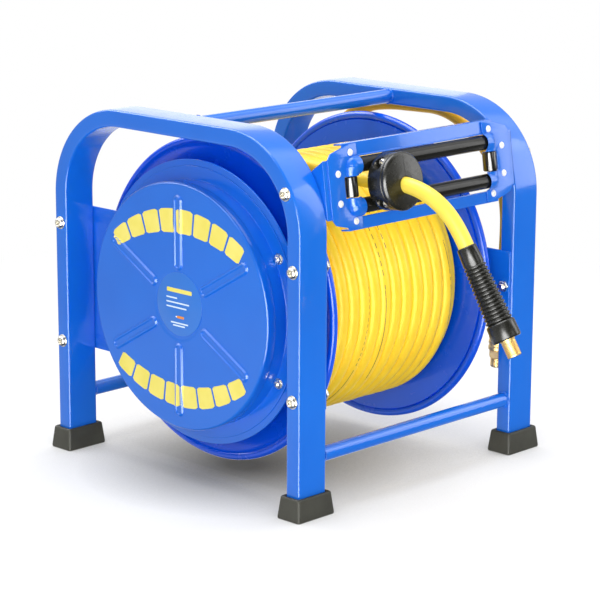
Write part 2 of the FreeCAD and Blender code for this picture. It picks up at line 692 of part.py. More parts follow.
def inlet_elbow():
    """The brass swivel body that the shaft's spigot turns in, with its outlet to the rear."""
    body = cylinder(D.elbow_radius, D.elbow_end - D.elbow_start, (D.elbow_start, 0, D.axle_height), X)
    boss = cylinder(D.outlet_radius, D.nut_start, (D.outlet_x, 0, D.axle_height), Y)
    room = cylinder(D.spigot_radius + D.bearing_gap, D.elbow_end - 4 - D.elbow_start,
                    (D.elbow_start, 0, D.axle_height), X)
    way = cylinder(D.hose_bore - 1, D.nut_start, (D.outlet_x, 0, D.axle_height), Y)
    return node(cut(fuse(body, boss), room, way), "inlet_elbow")


def hose_nut():
    prism = doc.addObject("Part::Prism", "nut")
    prism.Polygon = 6
    bind(prism, Circumradius=15, Height=D.nut_end - D.nut_start)
    place(prism, (D.outlet_x, D.nut_start, D.axle_height), turn_to(Y))
    way = cylinder(D.hose_bore - 1, D.nut_end - D.nut_start, (D.outlet_x, D.nut_start, D.axle_height), Y)
    return node(cut(prism, way), "lead_hose_nut")


def seals():
    centre = D.spigot_radius - 0.75
    rings = [ring(centre, 0.72, (x + 1.5, 0, D.axle_height)) for x in seal_places]
    return node(group(*rings), "swivel_seals")


def circlip():
    clip = pipe(D.spigot_radius + 3, D.spigot_radius, 1.5, (D.elbow_start - 3, 0, D.axle_height), X)
    gap = block(1.5, 6, 8, (D.elbow_start - 3, -3, D.axle_height + 7))
    return node(cut(clip, gap), "swivel_circlip")


def hose(route, label):
    """A hose of straight runs joined by the largest tangent arcs that both runs allow."""
    corners = [V(*p) for p in route]
    edges, radii, here = [], [], corners[0]
    for before, corner, after in zip(corners, corners[1:], corners[2:]):
        to_corner, away = corner - before, after - corner
        half = to_corner.getAngle(away) / 2
        trim = 0.45 * min(to_corner.Length, away.Length)
        radii.append(trim / math.tan(half))
        start = corner - to_corner / to_corner.Length * trim
        end = corner + away / away.Length * trim
        bisector = away / away.Length - to_corner / to_corner.Length
        middle = corner + bisector / bisector.Length * radii[-1] * (1 / math.cos(half) - 1)
        edges.append(Part.LineSegment(here, start).toShape())
        edges.append(Part.Arc(start, middle, end).toShape())
        here = end
    edges.append(Part.LineSegment(here, corners[-1]).toShape())
    path = Part.Wire(edges)
    circle = Part.Circle(corners[0], corners[1] - corners[0], float(D.hose_radius))
    tube = path.makePipeShell([Part.Wire(circle.toShape())], True, False)
    area = math.pi * float(D.hose_radius) ** 2
    print(f"{label}: {path.Length:.0f} mm long, volume {tube.Volume / (area * path.Length):.4f} of its section"
          f" times its length, radii {[round(r) for r in radii]}")
    piece = doc.addObject("Part::Feature", "hose")
    piece.Shape = tube
    return node(piece, label)


def ball_half(side, label):
    """Half of the two-part bumper that is clamped on the hose in front of the rollers."""
    points = [(0, 0), (31, 0), (35, 2), (35.6, 4), (35.2, 23.4), (34.6, 24.2), (35.2, 25), (36, 26),
              (36, 28), (34.6, 30.6), (31, 32.2), (14, 33), (0, 33)]
    bore = turned([(0, 0), (10.5, 0), (10.5, 60), (0, 60)], TAIL_ROUTE[0], bore_axis)
    solid = cut(turned(points, ball_base, ball_axis), bore)
    keep = block(50, 120, 120, (BALL_X + (0.15 if side > 0 else -50.15), -320, 330))
    tools = []
    for rise in (-BALL_SCREW_RISE, BALL_SCREW_RISE):
        spot = V(*ball_base) + ball_axis * 14 + ball_up * rise
        tools.append(cylinder(2.7, 80, (BALL_X - 40, spot.y, spot.z), X))
        tools.append(cylinder(6, 28, (BALL_X - 16 - 28 if side < 0 else BALL_X + 16, spot.y, spot.z), X))
    return node(cut(common(solid, keep), *tools), label)


def ball_screws():
    screws = []
    for rise in (-BALL_SCREW_RISE, BALL_SCREW_RISE):
        spot = V(*ball_base) + ball_axis * 14 + ball_up * rise
        screws.append(screw((BALL_X - 16, spot.y, spot.z), 37.6, X, 2.5, 4.6, 3.5, True))
    return node(group(*screws), "ball_stop_screws")


def bend_restrictor():
    """The tapered rubber sleeve over the last stretch of the hose."""
    inside = D.hose_radius + 0.7
    points = [(inside, 0), (D.sleeve_start - 0.6, 0), (D.sleeve_start, 1.5), (D.sleeve_start + 0.8, 22),
              (D.sleeve_waist, 60), (D.sleeve_waist + 0.9, 97), (D.collar_outer, 99),
              (D.collar_outer, D.sleeve_length - 1.5), (D.collar_outer - 1.5, D.sleeve_length),
              (D.fitting_radius + 0.1, D.sleeve_length), (D.fitting_radius + 0.1, D.hose_in_sleeve + 1),
              (inside, D.hose_in_sleeve + 1)]
    return node(turned(points, sleeve_base, sleeve_axis), "bend_restrictor")


def hose_fitting():
    """The brass male end of the delivery hose, open through the middle."""
    end = D.sleeve_length + D.fitting_out
    shoulder = D.sleeve_length + 1
    points = [(D.hose_bore, D.hose_in_sleeve), (D.fitting_radius, D.hose_in_sleeve), (D.fitting_radius, shoulder),
              (D.fitting_radius - 0.6, shoulder), (D.fitting_radius - 0.6, end - 1),
              (D.fitting_radius - 1.6, end), (D.hose_bore, end)]
    return node(turned(points, sleeve_base, sleeve_axis), "hose_end_fitting")


def lead_end():
    """The crimped ferrule and the male end of the lead-in hose."""
    base = LEAD_ROUTE[-1]
    down = (V(*LEAD_ROUTE[-1]) - V(*LEAD_ROUTE[-2])).normalize()
    length = D.lead_ferrule_length
    ferrule = turned([(D.hose_bore, 0), (D.lead_ferrule, 0), (D.lead_ferrule, length),
                      (D.hose_bore, length)], base, down)
    tip = turned([(D.hose_bore, length), (D.lead_tip_radius, length),
                  (D.lead_tip_radius, length + D.lead_tip_length - 1),
                  (D.lead_tip_radius - 1, length + D.lead_tip_length),
                  (D.hose_bore, length + D.lead_tip_length)], base, down)
    node(ferrule, "lead_hose_ferrule")
    node(tip, "lead_hose_fitting")


case_screws = [(y * float(D.case_screw_y), z * float(D.case_screw_rise)) for y in (-1, 1) for z in (-1, 1)]
rivets = [(u * a, w * b) for a, b in ((130, 41.7), (154, 18)) for u in (-1, 1) for w in (-1, 1)]
seal_places = (188, 198)
leg_rises = (-D.leg_bolt_rise, D.leg_bolt_rise)
ball_axis = V(0, -math.cos(math.radians(GUIDE_TILT)), math.sin(math.radians(GUIDE_TILT)))
ball_up = V(0, math.sin(math.radians(GUIDE_TILT)), math.cos(math.radians(GUIDE_TILT)))
ball_base = tuple(V(BALL_X, float(D.guide_y), float(D.guide_z)) + ball_axis * BALL_FACE)
bore_axis = (V(*TAIL_ROUTE[2]) - V(*TAIL_ROUTE[0])).normalize()
sleeve_axis = (V(*TAIL_ROUTE[-1]) - V(*TAIL_ROUTE[-3])).normalize()
sleeve_base = tuple(V(*TAIL_ROUTE[-1]) - sleeve_axis * float(D.hose_in_sleeve))

frame_tube(-1, leg_rises, "near_frame_tube")
frame_tube(1, (size(0),), "far_frame_tube")
cross_bar(0, D.handle_height, "top_handle_bar")
cross_bar(-D.leg_bolt_y, D.lower_bar_height, "front_lower_bar")
cross_bar(D.leg_bolt_y, D.lower_bar_height, "rear_lower_bar")
for side, side_name in ((-1, "near"), (1, "far")):
    for end, end_name in ((-1, "front"), (1, "rear")):
        foot(side, end, f"{side_name}_{end_name}_foot")
support_plate(-1, D.near_disc_radius, D.near_plate_half, leg_rises, case_screws, "near_support_plate")
support_plate(1, None, D.far_plate_half, (size(0),), (), "far_support_plate")
bearing(-1, "near_bearing")
bearing(1, "far_bearing")
spring_case()
spring_cover()
cover_label()
power_spring()
leg_bolts()
case_screw_set()

shaft()
barrel()
flange(-1, "left_flange")
flange(1, "right_flange")
wound_hose()
collar(-1, "left_hub_collar")
collar(1, "right_hub_collar")
spring_arbor()
ratchet_wheel()
outlet_pipe()
pawl()
pawl_pin()
pawl_spring()

end_plate(-1, "guide_end_plate_left")
end_plate(1, "guide_end_plate_right")
bracket(-1, "guide_bracket_left")
bracket(1, "guide_bracket_right")
rail(1, "guide_top_rail")
rail(-1, "guide_bottom_rail")
rivet_set()
long_roller(1, "upper_roller")
long_roller(-1, "lower_roller")
side_roller(-1, "left_side_roller")
side_roller(1, "right_side_roller")
pin_set("long_roller_pins", [
    cylinder(D.long_pin, 2 * D.long_pin_half, (-D.long_pin_half, D.roller_depth, end * D.roller_rise), X)
    for end in (-1, 1)])
pin_set("side_roller_pins", [
    cylinder(D.side_pin, 2 * D.side_pin_half, (side * D.side_x, D.roller_depth, -D.side_pin_half), Z)
    for side in (-1, 1)])

inlet_elbow()
hose_nut()
seals()
circlip()
hose(LEAD_ROUTE, "lead_hose")
lead_end()
hose(RUN_ROUTE, "hose_run")
hose(TAIL_ROUTE, "hose_tail")
ball_half(-1, "ball_stop_left_half")
ball_half(1, "ball_stop_right_half")
ball_screws()
bend_restrictor()
hose_fitting()

# ---------------------------------------------------------------- check and write

doc.recompute()
faults = [f"{o.Label}: {o.State}" for o in doc.Objects if {"Invalid", "Error"} & set(o.State)]
for piece in nodes:
    if piece.Shape.isNull() or not piece.Shape.isValid() or piece.Shape.Volume <= 0:
        faults.append(f"{piece.Label}: bad shape")
if faults:
    raise RuntimeError("; ".join(faults))
os.makedirs("parts", exist_ok=True)
for piece in nodes:
    piece.Shape.exportStep(f"parts/{piece.Label}.step")
print(f"{len(nodes)} nodes written")
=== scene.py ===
"""The looks of a spring-driven air hose reel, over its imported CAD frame.

X runs along the reel's axle (the spring case is at -X), -Y is the front, +Z is up. Lengths in the
tables are in millimetres and are turned into metres where a mesh is made.
"""
import bpy
import bmesh
import json
import math
from mathutils import Matrix, Vector, noise

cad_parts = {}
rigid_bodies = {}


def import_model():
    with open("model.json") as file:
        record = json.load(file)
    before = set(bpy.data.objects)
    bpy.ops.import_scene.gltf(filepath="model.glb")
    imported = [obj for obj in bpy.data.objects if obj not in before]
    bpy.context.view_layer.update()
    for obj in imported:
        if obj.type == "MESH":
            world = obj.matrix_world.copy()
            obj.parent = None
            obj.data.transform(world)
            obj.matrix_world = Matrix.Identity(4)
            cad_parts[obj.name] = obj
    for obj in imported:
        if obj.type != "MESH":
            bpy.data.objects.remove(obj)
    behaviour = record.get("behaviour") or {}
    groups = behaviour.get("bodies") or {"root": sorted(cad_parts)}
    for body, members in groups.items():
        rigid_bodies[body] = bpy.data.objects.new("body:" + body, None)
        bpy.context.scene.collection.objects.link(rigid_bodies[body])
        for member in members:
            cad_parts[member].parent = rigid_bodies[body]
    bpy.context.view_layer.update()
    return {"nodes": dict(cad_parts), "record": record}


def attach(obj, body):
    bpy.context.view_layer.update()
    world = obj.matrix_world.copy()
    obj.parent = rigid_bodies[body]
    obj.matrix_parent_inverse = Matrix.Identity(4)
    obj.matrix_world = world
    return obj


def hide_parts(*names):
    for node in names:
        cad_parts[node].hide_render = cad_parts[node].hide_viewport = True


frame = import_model()
nodes = frame["nodes"]

MM = 0.001
X, Y, Z = Vector((1, 0, 0)), Vector((0, 1, 0)), Vector((0, 0, 1))
AXLE = 229                      # height of the axle
LEG_X, LEG_Y = 201, 214         # middle of a leg's section
CROWN = 459                     # height of the frame tube's middle at the top
GUIDE_Y, GUIDE_Z = -222, 402    # middle of the guide's face
GUIDE_TILT = math.radians(8)    # the guide's foot stands forward of its head
HOSE = 20                       # outside diameter of every hose
WRAP_STEPS = 120                # points in one turn of wound hose

# ---------------------------------------------------------------- materials


class Shader:
    """A node material with small helpers for building its tree."""

    def __init__(self, name):
        self.material = bpy.data.materials.new(name)
        self.material.use_nodes = True
        self.tree = self.material.node_tree
        self.tree.nodes.clear()
        self.output = self.tree.nodes.new("ShaderNodeOutputMaterial")
        self.surface = self.tree.nodes.new("ShaderNodeBsdfPrincipled")
        self.join(self.surface.outputs[0], self.output.inputs["Surface"])
        coords = self.tree.nodes.new("ShaderNodeTexCoord")
        self.place = coords.outputs["Object"]

    def join(self, source, target):
        self.tree.links.new(source, target)

    def set(self, **values):
        names = {"metal": "Metallic", "coat": "Coat Weight", "coat_rough": "Coat Roughness",
                 "spec": "Specular IOR Level"}
        for key, value in values.items():
            self.surface.inputs[names[key]].default_value = value
        return self

    def noise(self, scale, detail, stretch=(1, 1, 1)):
        mapping = self.tree.nodes.new("ShaderNodeMapping")
        mapping.inputs["Scale"].default_value = stretch
        self.join(self.place, mapping.inputs["Vector"])
        node = self.tree.nodes.new("ShaderNodeTexNoise")
        node.inputs["Scale"].default_value = scale
        node.inputs["Detail"].default_value = detail
        self.join(mapping.outputs[0], node.inputs["Vector"])
        return node.outputs["Fac"]

    def ramp(self, fac, stops):
        node = self.tree.nodes.new("ShaderNodeValToRGB")
        ramp = node.color_ramp
        while len(ramp.elements) < len(stops):
            ramp.elements.new(0.5)
        for element, (place, colour) in zip(ramp.elements, stops):
            element.position = place
            element.color = (*colour, 1)
        self.join(fac, node.inputs["Fac"])
        return node.outputs["Color"]

    def multiply(self, one, two):
        node = self.tree.nodes.new("ShaderNodeMix")
        node.data_type = "RGBA"
        node.blend_type = "MULTIPLY"
        node.inputs[0].default_value = 1.0
        self.join(one, node.inputs[6])
        self.join(two, node.inputs[7])
        return node.outputs[2]

    def paint(self, colour):
        self.join(colour, self.surface.inputs["Base Color"])
        return self

    def roughen(self, fac, low, high):
        node = self.tree.nodes.new("ShaderNodeMapRange")
        node.inputs["To Min"].default_value = low
        node.inputs["To Max"].default_value = high
        self.join(fac, node.inputs["Value"])
        self.join(node.outputs[0], self.surface.inputs["Roughness"])
        return self

    def bump(self, height, distance, strength, bevel=0.0):
        node = self.tree.nodes.new("ShaderNodeBump")
        node.inputs["Distance"].default_value = distance
        node.inputs["Strength"].default_value = strength
        self.join(height, node.inputs["Height"])
        if bevel:
            edge = self.tree.nodes.new("ShaderNodeBevel")
            edge.samples = 4
            edge.inputs["Radius"].default_value = bevel
            self.join(edge.outputs[0], node.inputs["Normal"])
        self.join(node.outputs[0], self.surface.inputs["Normal"])
        return self


def powder_coat(name, colour, deep, rough, bevel=0.0):
    """Glossy powder coat: faint orange peel, slight drift of colour, a clear top."""
    s = Shader(name).set(coat=0.35, coat_rough=0.05, spec=0.3)
    drift = s.noise(9, 2)
    s.paint(s.ramp(drift, [(0.3, deep), (0.7, colour)]))
    s.roughen(s.noise(60, 2), rough - 0.04, rough + 0.06)
    s.bump(s.noise(420, 2), 0.00012, 0.35, bevel)
    return s.material


def rubber(name, colour, light, rough, grain=900, depth=0.00008, bevel=0.0, spec=0.45):
    s = Shader(name).set(spec=spec)
    s.paint(s.ramp(s.noise(35, 4), [(0.35, colour), (0.75, light)]))
    s.roughen(s.noise(180, 3), rough - 0.07, rough + 0.09)
    s.bump(s.noise(grain, 3), depth, 0.6, bevel)
    return s.material


def metal(name, colour, light, rough, stretch=(1, 1, 1)):
    s = Shader(name).set(metal=1.0)
    s.paint(s.ramp(s.noise(140 / 3, 3), [(0.3, colour), (0.7, light)]))
    s.roughen(s.noise(140, 3, stretch), rough - 0.08, rough + 0.12)
    s.bump(s.noise(560, 2, stretch), 0.00004, 0.4)
    return s.material


BLUE = powder_coat("blue_coat", (0.006, 0.145, 0.66), (0.006, 0.130, 0.61), 0.2)
BLUE_SHEET = powder_coat("blue_sheet_coat", (0.006, 0.145, 0.66), (0.006, 0.130, 0.61), 0.2, 0.0008)
DRUM_BLUE = powder_coat("drum_blue_coat", (0.0, 0.085, 0.72), (0.0, 0.075, 0.66), 0.25)
YELLOW_HOSE = rubber("yellow_hose", (0.93, 0.61, 0.018), (0.97, 0.67, 0.028), 0.40, 700, 0.00005)
# Painted light: the lead-in hose is the same yellow hose, made orange and bright as it looks when lit from
# behind.
LEAD_HOSE_BACKLIT = rubber("lead_hose_yellow", (0.98, 0.48, 0.008), (1.0, 0.54, 0.012), 0.40, 700, 0.00005)
# Painted light: the tail hose is a paler copy of the yellow hose, standing in for strong light on it.
TAIL_HOSE_LIT = rubber("tail_hose_yellow", (0.93, 0.70, 0.07), (0.97, 0.76, 0.10), 0.40, 700, 0.00005)
BLACK_RUBBER = rubber("black_rubber", (0.009, 0.009, 0.007), (0.016, 0.016, 0.012), 0.25, 900, 0.00002)
BLACK_PLASTIC = rubber("black_plastic", (0.006, 0.006, 0.005), (0.011, 0.011, 0.009), 0.22, 1400, 0.00002,
                       spec=0.22)
GLOSS_BLACK = rubber("gloss_black", (0.006, 0.006, 0.005), (0.011, 0.011, 0.009), 0.14, 1400, 0.00001,
                     spec=0.9)
FOOT_RUBBER = rubber("foot_rubber", (0.022, 0.022, 0.016), (0.034, 0.034, 0.026), 0.62, 600, 0.00012, 0.001)
BRASS = metal("brass", (0.80, 0.55, 0.19), (0.92, 0.68, 0.30), 0.42)
ZINC = metal("zinc_plate", (0.58, 0.56, 0.49), (0.80, 0.76, 0.66), 0.27)
STEEL = metal("turned_steel", (0.40, 0.40, 0.41), (0.56, 0.56, 0.57), 0.34, (1, 8, 8))
LABEL = powder_coat("label_film", (0.02, 0.17, 0.62), (0.016, 0.155, 0.59), 0.3)
RIVET = rubber("rivet_white", (0.80, 0.80, 0.78), (0.86, 0.86, 0.85), 0.35)
YELLOW_PRINT = rubber("yellow_print", (0.80, 0.69, 0.11), (0.87, 0.76, 0.18), 0.35)
PALE_PRINT = rubber("pale_print", (0.62, 0.76, 0.93), (0.70, 0.82, 0.96), 0.35)
ORANGE_PRINT = rubber("orange_print", (0.75, 0.24, 0.03), (0.82, 0.30, 0.05), 0.35)
PRINT = rubber("dark_print", (0.05, 0.045, 0.03), (0.12, 0.10, 0.06), 0.5)

by_slot = {"blue_frame": BLUE, "blue_sheet": BLUE_SHEET, "foot_rubber": FOOT_RUBBER,
           "hose_yellow": YELLOW_HOSE, "black_rubber": BLACK_RUBBER, "black_roller": BLACK_PLASTIC,
           "brass_part": BRASS, "bolt_steel": ZINC, "plain_steel": STEEL, "label_film": LABEL}
for part in frame["record"]["subparts"]:
    mesh = nodes[part["node"]].data
    mesh.materials.clear()
    mesh.materials.append(by_slot[part["material_slot"]])

# ---------------------------------------------------------------- making meshes


def piece(name, verts, faces, material, body, replaces=(), sharp=40):
    """A finished mesh in millimetres, riding on a body."""
    mesh = bpy.data.meshes.new(name)
    mesh.from_pydata([Vector(v) * MM for v in verts], [], faces)
    mesh.validate()
    mesh.update()
    mesh.shade_smooth()
    mesh.set_sharp_from_angle(angle=math.radians(sharp))
    obj = bpy.data.objects.new(name, mesh)
    bpy.context.scene.collection.objects.link(obj)
    mesh.materials.append(material)
    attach(obj, body)
    if replaces:
        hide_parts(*replaces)
    return obj


def hose(name, route, diameter, material, body, replaces):
    """A tube on one smooth spline with the route's points, in millimetres, as its control points."""
    curve = bpy.data.curves.new(name, "CURVE")
    curve.dimensions = "3D"
    curve.resolution_u = 12
    curve.bevel_depth = diameter / 2 * MM
    curve.bevel_resolution = 7
    curve.use_fill_caps = True
    spline = curve.splines.new("NURBS")
    spline.points.add(len(route) - 1)
    for point, place in zip(spline.points, route):
        point.co = (*(Vector(place) * MM), 1)
    spline.order_u = 3
    spline.use_endpoint_u = True
    obj = bpy.data.objects.new(name, curve)
    bpy.context.scene.collection.objects.link(obj)
    curve.materials.append(material)
    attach(obj, body)
    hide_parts(*replaces)
    return obj


def turned_from(axis, base):
    """The matrix that takes +Z to an axis and the origin to a base, in millimetres."""
    spin = Vector(axis).normalized().to_track_quat("Z", "Y").to_matrix().to_4x4()
    return Matrix.Translation(Vector(base)) @ spin


def rounded(points, cut, steps=4):
    """A closed outline with its corners cut back and curved."""
    out = []
    for i, corner in enumerate(points):
        here = Vector(corner)
        to_last = Vector(points[i - 1]) - here
        to_next = Vector(points[(i + 1) % len(points)]) - here
        start = here + to_last.normalized() * min(cut, to_last.length * 0.45)
        end = here + to_next.normalized() * min(cut, to_next.length * 0.45)
        for step in range(steps + 1):
            t = step / steps
            out.append(tuple(start * (1 - t) ** 2 + here * 2 * t * (1 - t) + end * t * t))
    return out


def lathe(name, profile, place, material, body, replaces=(), segments=96, sharp=40):
    """A solid of revolution from (radius, distance, sides) corners; sides makes that corner a polygon."""
    verts, faces = [], []
    for corner in profile:
        for step in range(segments):
            angle = 2 * math.pi * step / segments
            radius = corner[0]
            if len(corner) > 2:
                slice_angle = 2 * math.pi / corner[2]
                radius /= math.cos(angle % slice_angle - slice_angle / 2)
            verts.append(place @ Vector((radius * math.cos(angle), radius * math.sin(angle), corner[1])))
    rings = len(profile)
    for ring in range(rings):
        after = (ring + 1) % rings
        for step in range(segments):
            side = (step + 1) % segments
            faces.append((ring * segments + step, ring * segments + side,
                          after * segments + side, after * segments + step))
    return clean(piece(name, verts, faces, material, body, replaces, sharp), sharp)


def clean(obj, sharp=40):
    """Welds doubled points and turns the faces outwards."""
    work = bmesh.new()
    work.from_mesh(obj.data)
    bmesh.ops.remove_doubles(work, verts=work.verts, dist=1e-6)
    bmesh.ops.dissolve_degenerate(work, edges=work.edges, dist=1e-7)
    bmesh.ops.recalc_face_normals(work, faces=work.faces)
    work.to_mesh(obj.data)
    work.free()
    obj.data.shade_smooth()
    obj.data.set_sharp_from_angle(angle=math.radians(sharp))
    return obj


def loft(name, loops, material, body, replaces=(), ring=False):
    """A skin through loops of equally many points, closed at both ends or joined into a ring."""
    size = len(loops[0])
    verts = [point for loop in loops for point in loop]
    faces = []
    for row in range(len(loops) if ring else len(loops) - 1):
        after = (row + 1) % len(loops)
        for i in range(size):
            j = (i + 1) % size
            faces.append((row * size + i, row * size + j, after * size + j, after * size + i))
    if not ring:
        faces.append(tuple(range(size)))
        faces.append(tuple(len(verts) - size + i for i in range(size)))
    return clean(piece(name, verts, faces, material, body, replaces))


def joined(name, parts, replaces=()):
    """Several pieces of one material made into one."""
    work = bmesh.new()
    for part in parts:
        work.from_mesh(part.data)
    mesh = bpy.data.meshes.new(name)
    work.to_mesh(mesh)
    work.free()
    mesh.materials.append(parts[0].data.materials[0])
    mesh.set_sharp_from_angle(angle=math.radians(40))
    obj = bpy.data.objects.new(name, mesh)
    bpy.context.scene.collection.objects.link(obj)
    body = parts[0].parent
    for part in parts:
        bpy.data.objects.remove(part)
    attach(obj, body.name.removeprefix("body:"))
    if replaces:
        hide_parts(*replaces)
    return obj


def plate(name, outlines, thickness, place, material, body, replaces=(), edge=0.5):
    """A flat part: the first outline is its edge and the rest are holes; place maps its (u, v, up)."""
    curve = bpy.data.curves.new(name, "CURVE")
    curve.dimensions = "2D"
    curve.fill_mode = "BOTH"
    curve.extrude = (thickness / 2 - edge) * MM
    curve.bevel_depth = edge * MM
    curve.bevel_resolution = 2
    curve.offset = -edge * MM
    for outline in outlines:
        spline = curve.splines.new("POLY")
        spline.points.add(len(outline) - 1)
        for point, (u, v) in zip(spline.points, outline):
            point.co = (u * MM, v * MM, 0, 1)
        spline.use_cyclic_u = True
    sketch = bpy.data.objects.new(name + "_outline", curve)
    bpy.context.scene.collection.objects.link(sketch)
    mesh = bpy.data.meshes.new_from_object(sketch.evaluated_get(bpy.context.evaluated_depsgraph_get()))
    bpy.data.objects.remove(sketch)
    obj = bpy.data.objects.new(name, mesh)
    bpy.context.scene.collection.objects.link(obj)
    move = place.copy()
    move.translation = move.translation * MM
    mesh.transform(move)
    mesh.materials.clear()
    mesh.materials.append(material)
    clean(obj, 30)
    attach(obj, body)
    if replaces:
        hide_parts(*replaces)
    return obj


def circle(centre, radius):
    turns = [2 * math.pi * i / 32 for i in range(32)]
    return [(centre[0] + radius * math.cos(t), centre[1] + radius * math.sin(t)) for t in turns]


def plane(u, v, up, origin=(0, 0, 0)):
    """The matrix of a flat part: where its u, v and up directions point, and its middle."""
    matrix = Matrix.Identity(4)
    for column, direction in enumerate((u, v, up)):
        matrix.col[column] = (*direction, 0)
    return Matrix.Translation(Vector(origin)) @ matrix


# ---------------------------------------------------------------- hoses

LEAD_ROUTE = [
    (200, 34.4, 229), (200.6, 79.6, 227.9), (206, 121.6, 245.6), (215, 152.3, 279.2), (226, 165.9, 322.8),
    (234, 159.8, 367.9), (238.5, 135.4, 406.4), (240.5, 97.3, 431.5), (242, 52.3, 438.9),
    (243, 6.7, 439.9), (243, -38.8, 441.3), (243, -81.8, 426), (242.4, -118.2, 398.6),
    (241.6, -150.3, 361.2), (241, -162.2, 316.5), (240.4, -162.5, 270.9), (240, -159.8, 225.4),
    (239.6, -153.5, 186.2), (240, -152, 147),
]
TAIL_ROUTE = [
    (-79.6, -213, 401.4), (-79.5, -235, 402.6), (-79.1, -261.5, 403.5), (-77.2, -285, 398.9),
    (-74, -306.8, 388.4), (-70.2, -325, 372.6), (-66.2, -339.3, 351.4), (-62.3, -352.4, 324.2),
    (-58.6, -369.4, 292), (-55.2, -387.1, 259.9),
]
RUN_START = [(-72.5, 160, 224), (-73, 168, 265), (-73.5, 160, 311), (-74, 135, 354)]    # out of the wraps
RUN_ROUTE = [
    (-74, 95, 390.5), (-75, 48, 409.5), (-76.3, -4, 412.3), (-76.2, -58, 409.6), (-77, -110, 405.4),
    (-77.8, -158, 402.2), (-79.3, -188, 401), (-79.5, -212.6, 401.5),
]

lead = hose("lead_in_hose", LEAD_ROUTE, HOSE, LEAD_HOSE_BACKLIT, "frame", ["lead_hose"])
tail = hose("delivery_hose", TAIL_ROUTE, HOSE, TAIL_HOSE_LIT, "frame", ["hose_tail"])
hose("hose_over_drum", RUN_START + RUN_ROUTE, HOSE, YELLOW_HOSE, "frame", ["hose_run"])

# ---------------------------------------------------------------- frame


def tube_loops(side):
    """Loops of the frame tube's section along the inverted U, with the bends' faint wrinkles."""
    radius, floor_gap = 111, 6
    turn_y, shoulder = LEG_Y - radius, CROWN - radius
    straight = shoulder - floor_gap
    path = [(-LEG_Y, floor_gap + straight * i / 6, 0) for i in range(7)]
    for a in range(3, 91, 3):
        t = math.radians(a)
        path.append((-turn_y - radius * math.cos(t), shoulder + radius * math.sin(t), a))
    path += [(turn_y * (i / 4 - 1), CROWN, 90) for i in range(1, 8)]
    for a in range(0, 91, 3):
        t = math.radians(a)
        path.append((turn_y + radius * math.sin(t), shoulder + radius * math.cos(t), 90 + a))
    path += [(LEG_Y, shoulder - straight * i / 6, 180) for i in range(1, 7)]
    section = rounded([(-24, -11), (24, -11), (24, 11), (-24, 11)], 3.4, 5)
    loops = []
    for y, z, turn in path:
        outward = Vector((0, -math.cos(math.radians(turn)), math.sin(math.radians(turn))))
        bend = turn if turn < 90 else turn - 90
        depth = math.sin(math.radians(2 * bend)) if turn not in (0, 90, 180) else 0
        loop = []
        for across, out in section:
            middle = 1 - (across / 24) ** 2
            shift = 0.0
            if out < 0:
                shift = depth * middle * (0.9 * math.sin(bend * 0.42 + side) - 0.9)
            elif out > 0:
                shift = -depth * middle * 0.7
            spread = 1 + 0.008 * depth if out < 0 else 1
            centre = Vector((side * LEG_X, y, z))
            loop.append(centre + X * across * spread + outward * (out + shift))
        loops.append(loop)
    return loops


loft("near_tube", tube_loops(-1), BLUE, "frame", ["near_frame_tube"])
loft("far_tube", tube_loops(1), BLUE, "frame", ["far_frame_tube"])


def weld(centre, axis, radius, seed):
    """A lumpy bead round the end of a bar."""
    loops = []
    for i in range(60):
        angle = 2 * math.pi * i / 60
        lump = 2.0 + 0.45 * noise.noise(Vector((math.cos(angle) * 2, math.sin(angle) * 2, seed)))
        lump += 0.25 * math.sin(angle * 22)
        out = Y * math.cos(angle) + Z * math.sin(angle)
        turns = [2 * math.pi * k / 10 for k in range(10)]
        loops.append([Vector(centre) + out * (radius + lump * math.cos(t) * 0.9)
                      + axis * max(0, lump * math.sin(t)) for t in turns])
    return loft("weld", loops, BLUE, "frame", ring=True)


beads = []
for number, (y, z, bar) in enumerate([(0, CROWN, "top_handle_bar"), (-LEG_Y, 73, "front_lower_bar"),
                                      (LEG_Y, 73, "rear_lower_bar")]):
    lathe(bar + "_tube", [(9.5, -177), (9.5, -60), (9.5, 60), (9.5, 177), (8, 177), (8, -177)],
          turned_from(X, (0, y, z)), BLUE, "frame", [bar], 64)
    beads += [weld((-177, y, z), X, 9.5, number), weld((177, y, z), -X, 9.5, number + 5)]
joined("weld_beads", beads)


def foot(side, end):
    """A moulded rubber cap: flared, with a rounded rim and a lip round the tube."""
    centre = Vector((side * LEG_X, end * LEG_Y, 0))
    levels = [(30.6, 17.6, 0), (31.6, 18.6, 0.6), (32, 19, 1.8), (31.9, 18.9, 4), (29.4, 16.4, 26.5),
              (29.0, 16.0, 28.2), (28.2, 15.2, 29), (25.6, 12.6, 29), (24.9, 11.9, 28.4), (24.1, 11.1, 20)]
    loops = []
    for half_x, half_y, z in levels:
        box = rounded([(-half_x, -half_y), (half_x, -half_y), (half_x, half_y), (-half_x, half_y)], 3.6, 5)
        loops.append([centre + Vector((u, v, z)) for u, v in box])
    return loft("foot", loops, FOOT_RUBBER, "frame")


for side, side_name in ((-1, "near"), (1, "far")):
    for end, end_name in ((-1, "front"), (1, "rear")):
        cap = foot(side, end)
        cap.name = f"{side_name}_{end_name}_cap"
        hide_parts(f"{side_name}_{end_name}_foot")

# ---------------------------------------------------------------- supports and spring case


def at_axle(x):
    return plane(Y, Z, X, (x, 0, AXLE))


def arc(radius, start, end, steps):
    return [(radius * math.cos(math.radians(start + (end - start) * i / steps)),
             radius * math.sin(math.radians(start + (end - start) * i / steps))) for i in range(steps + 1)]


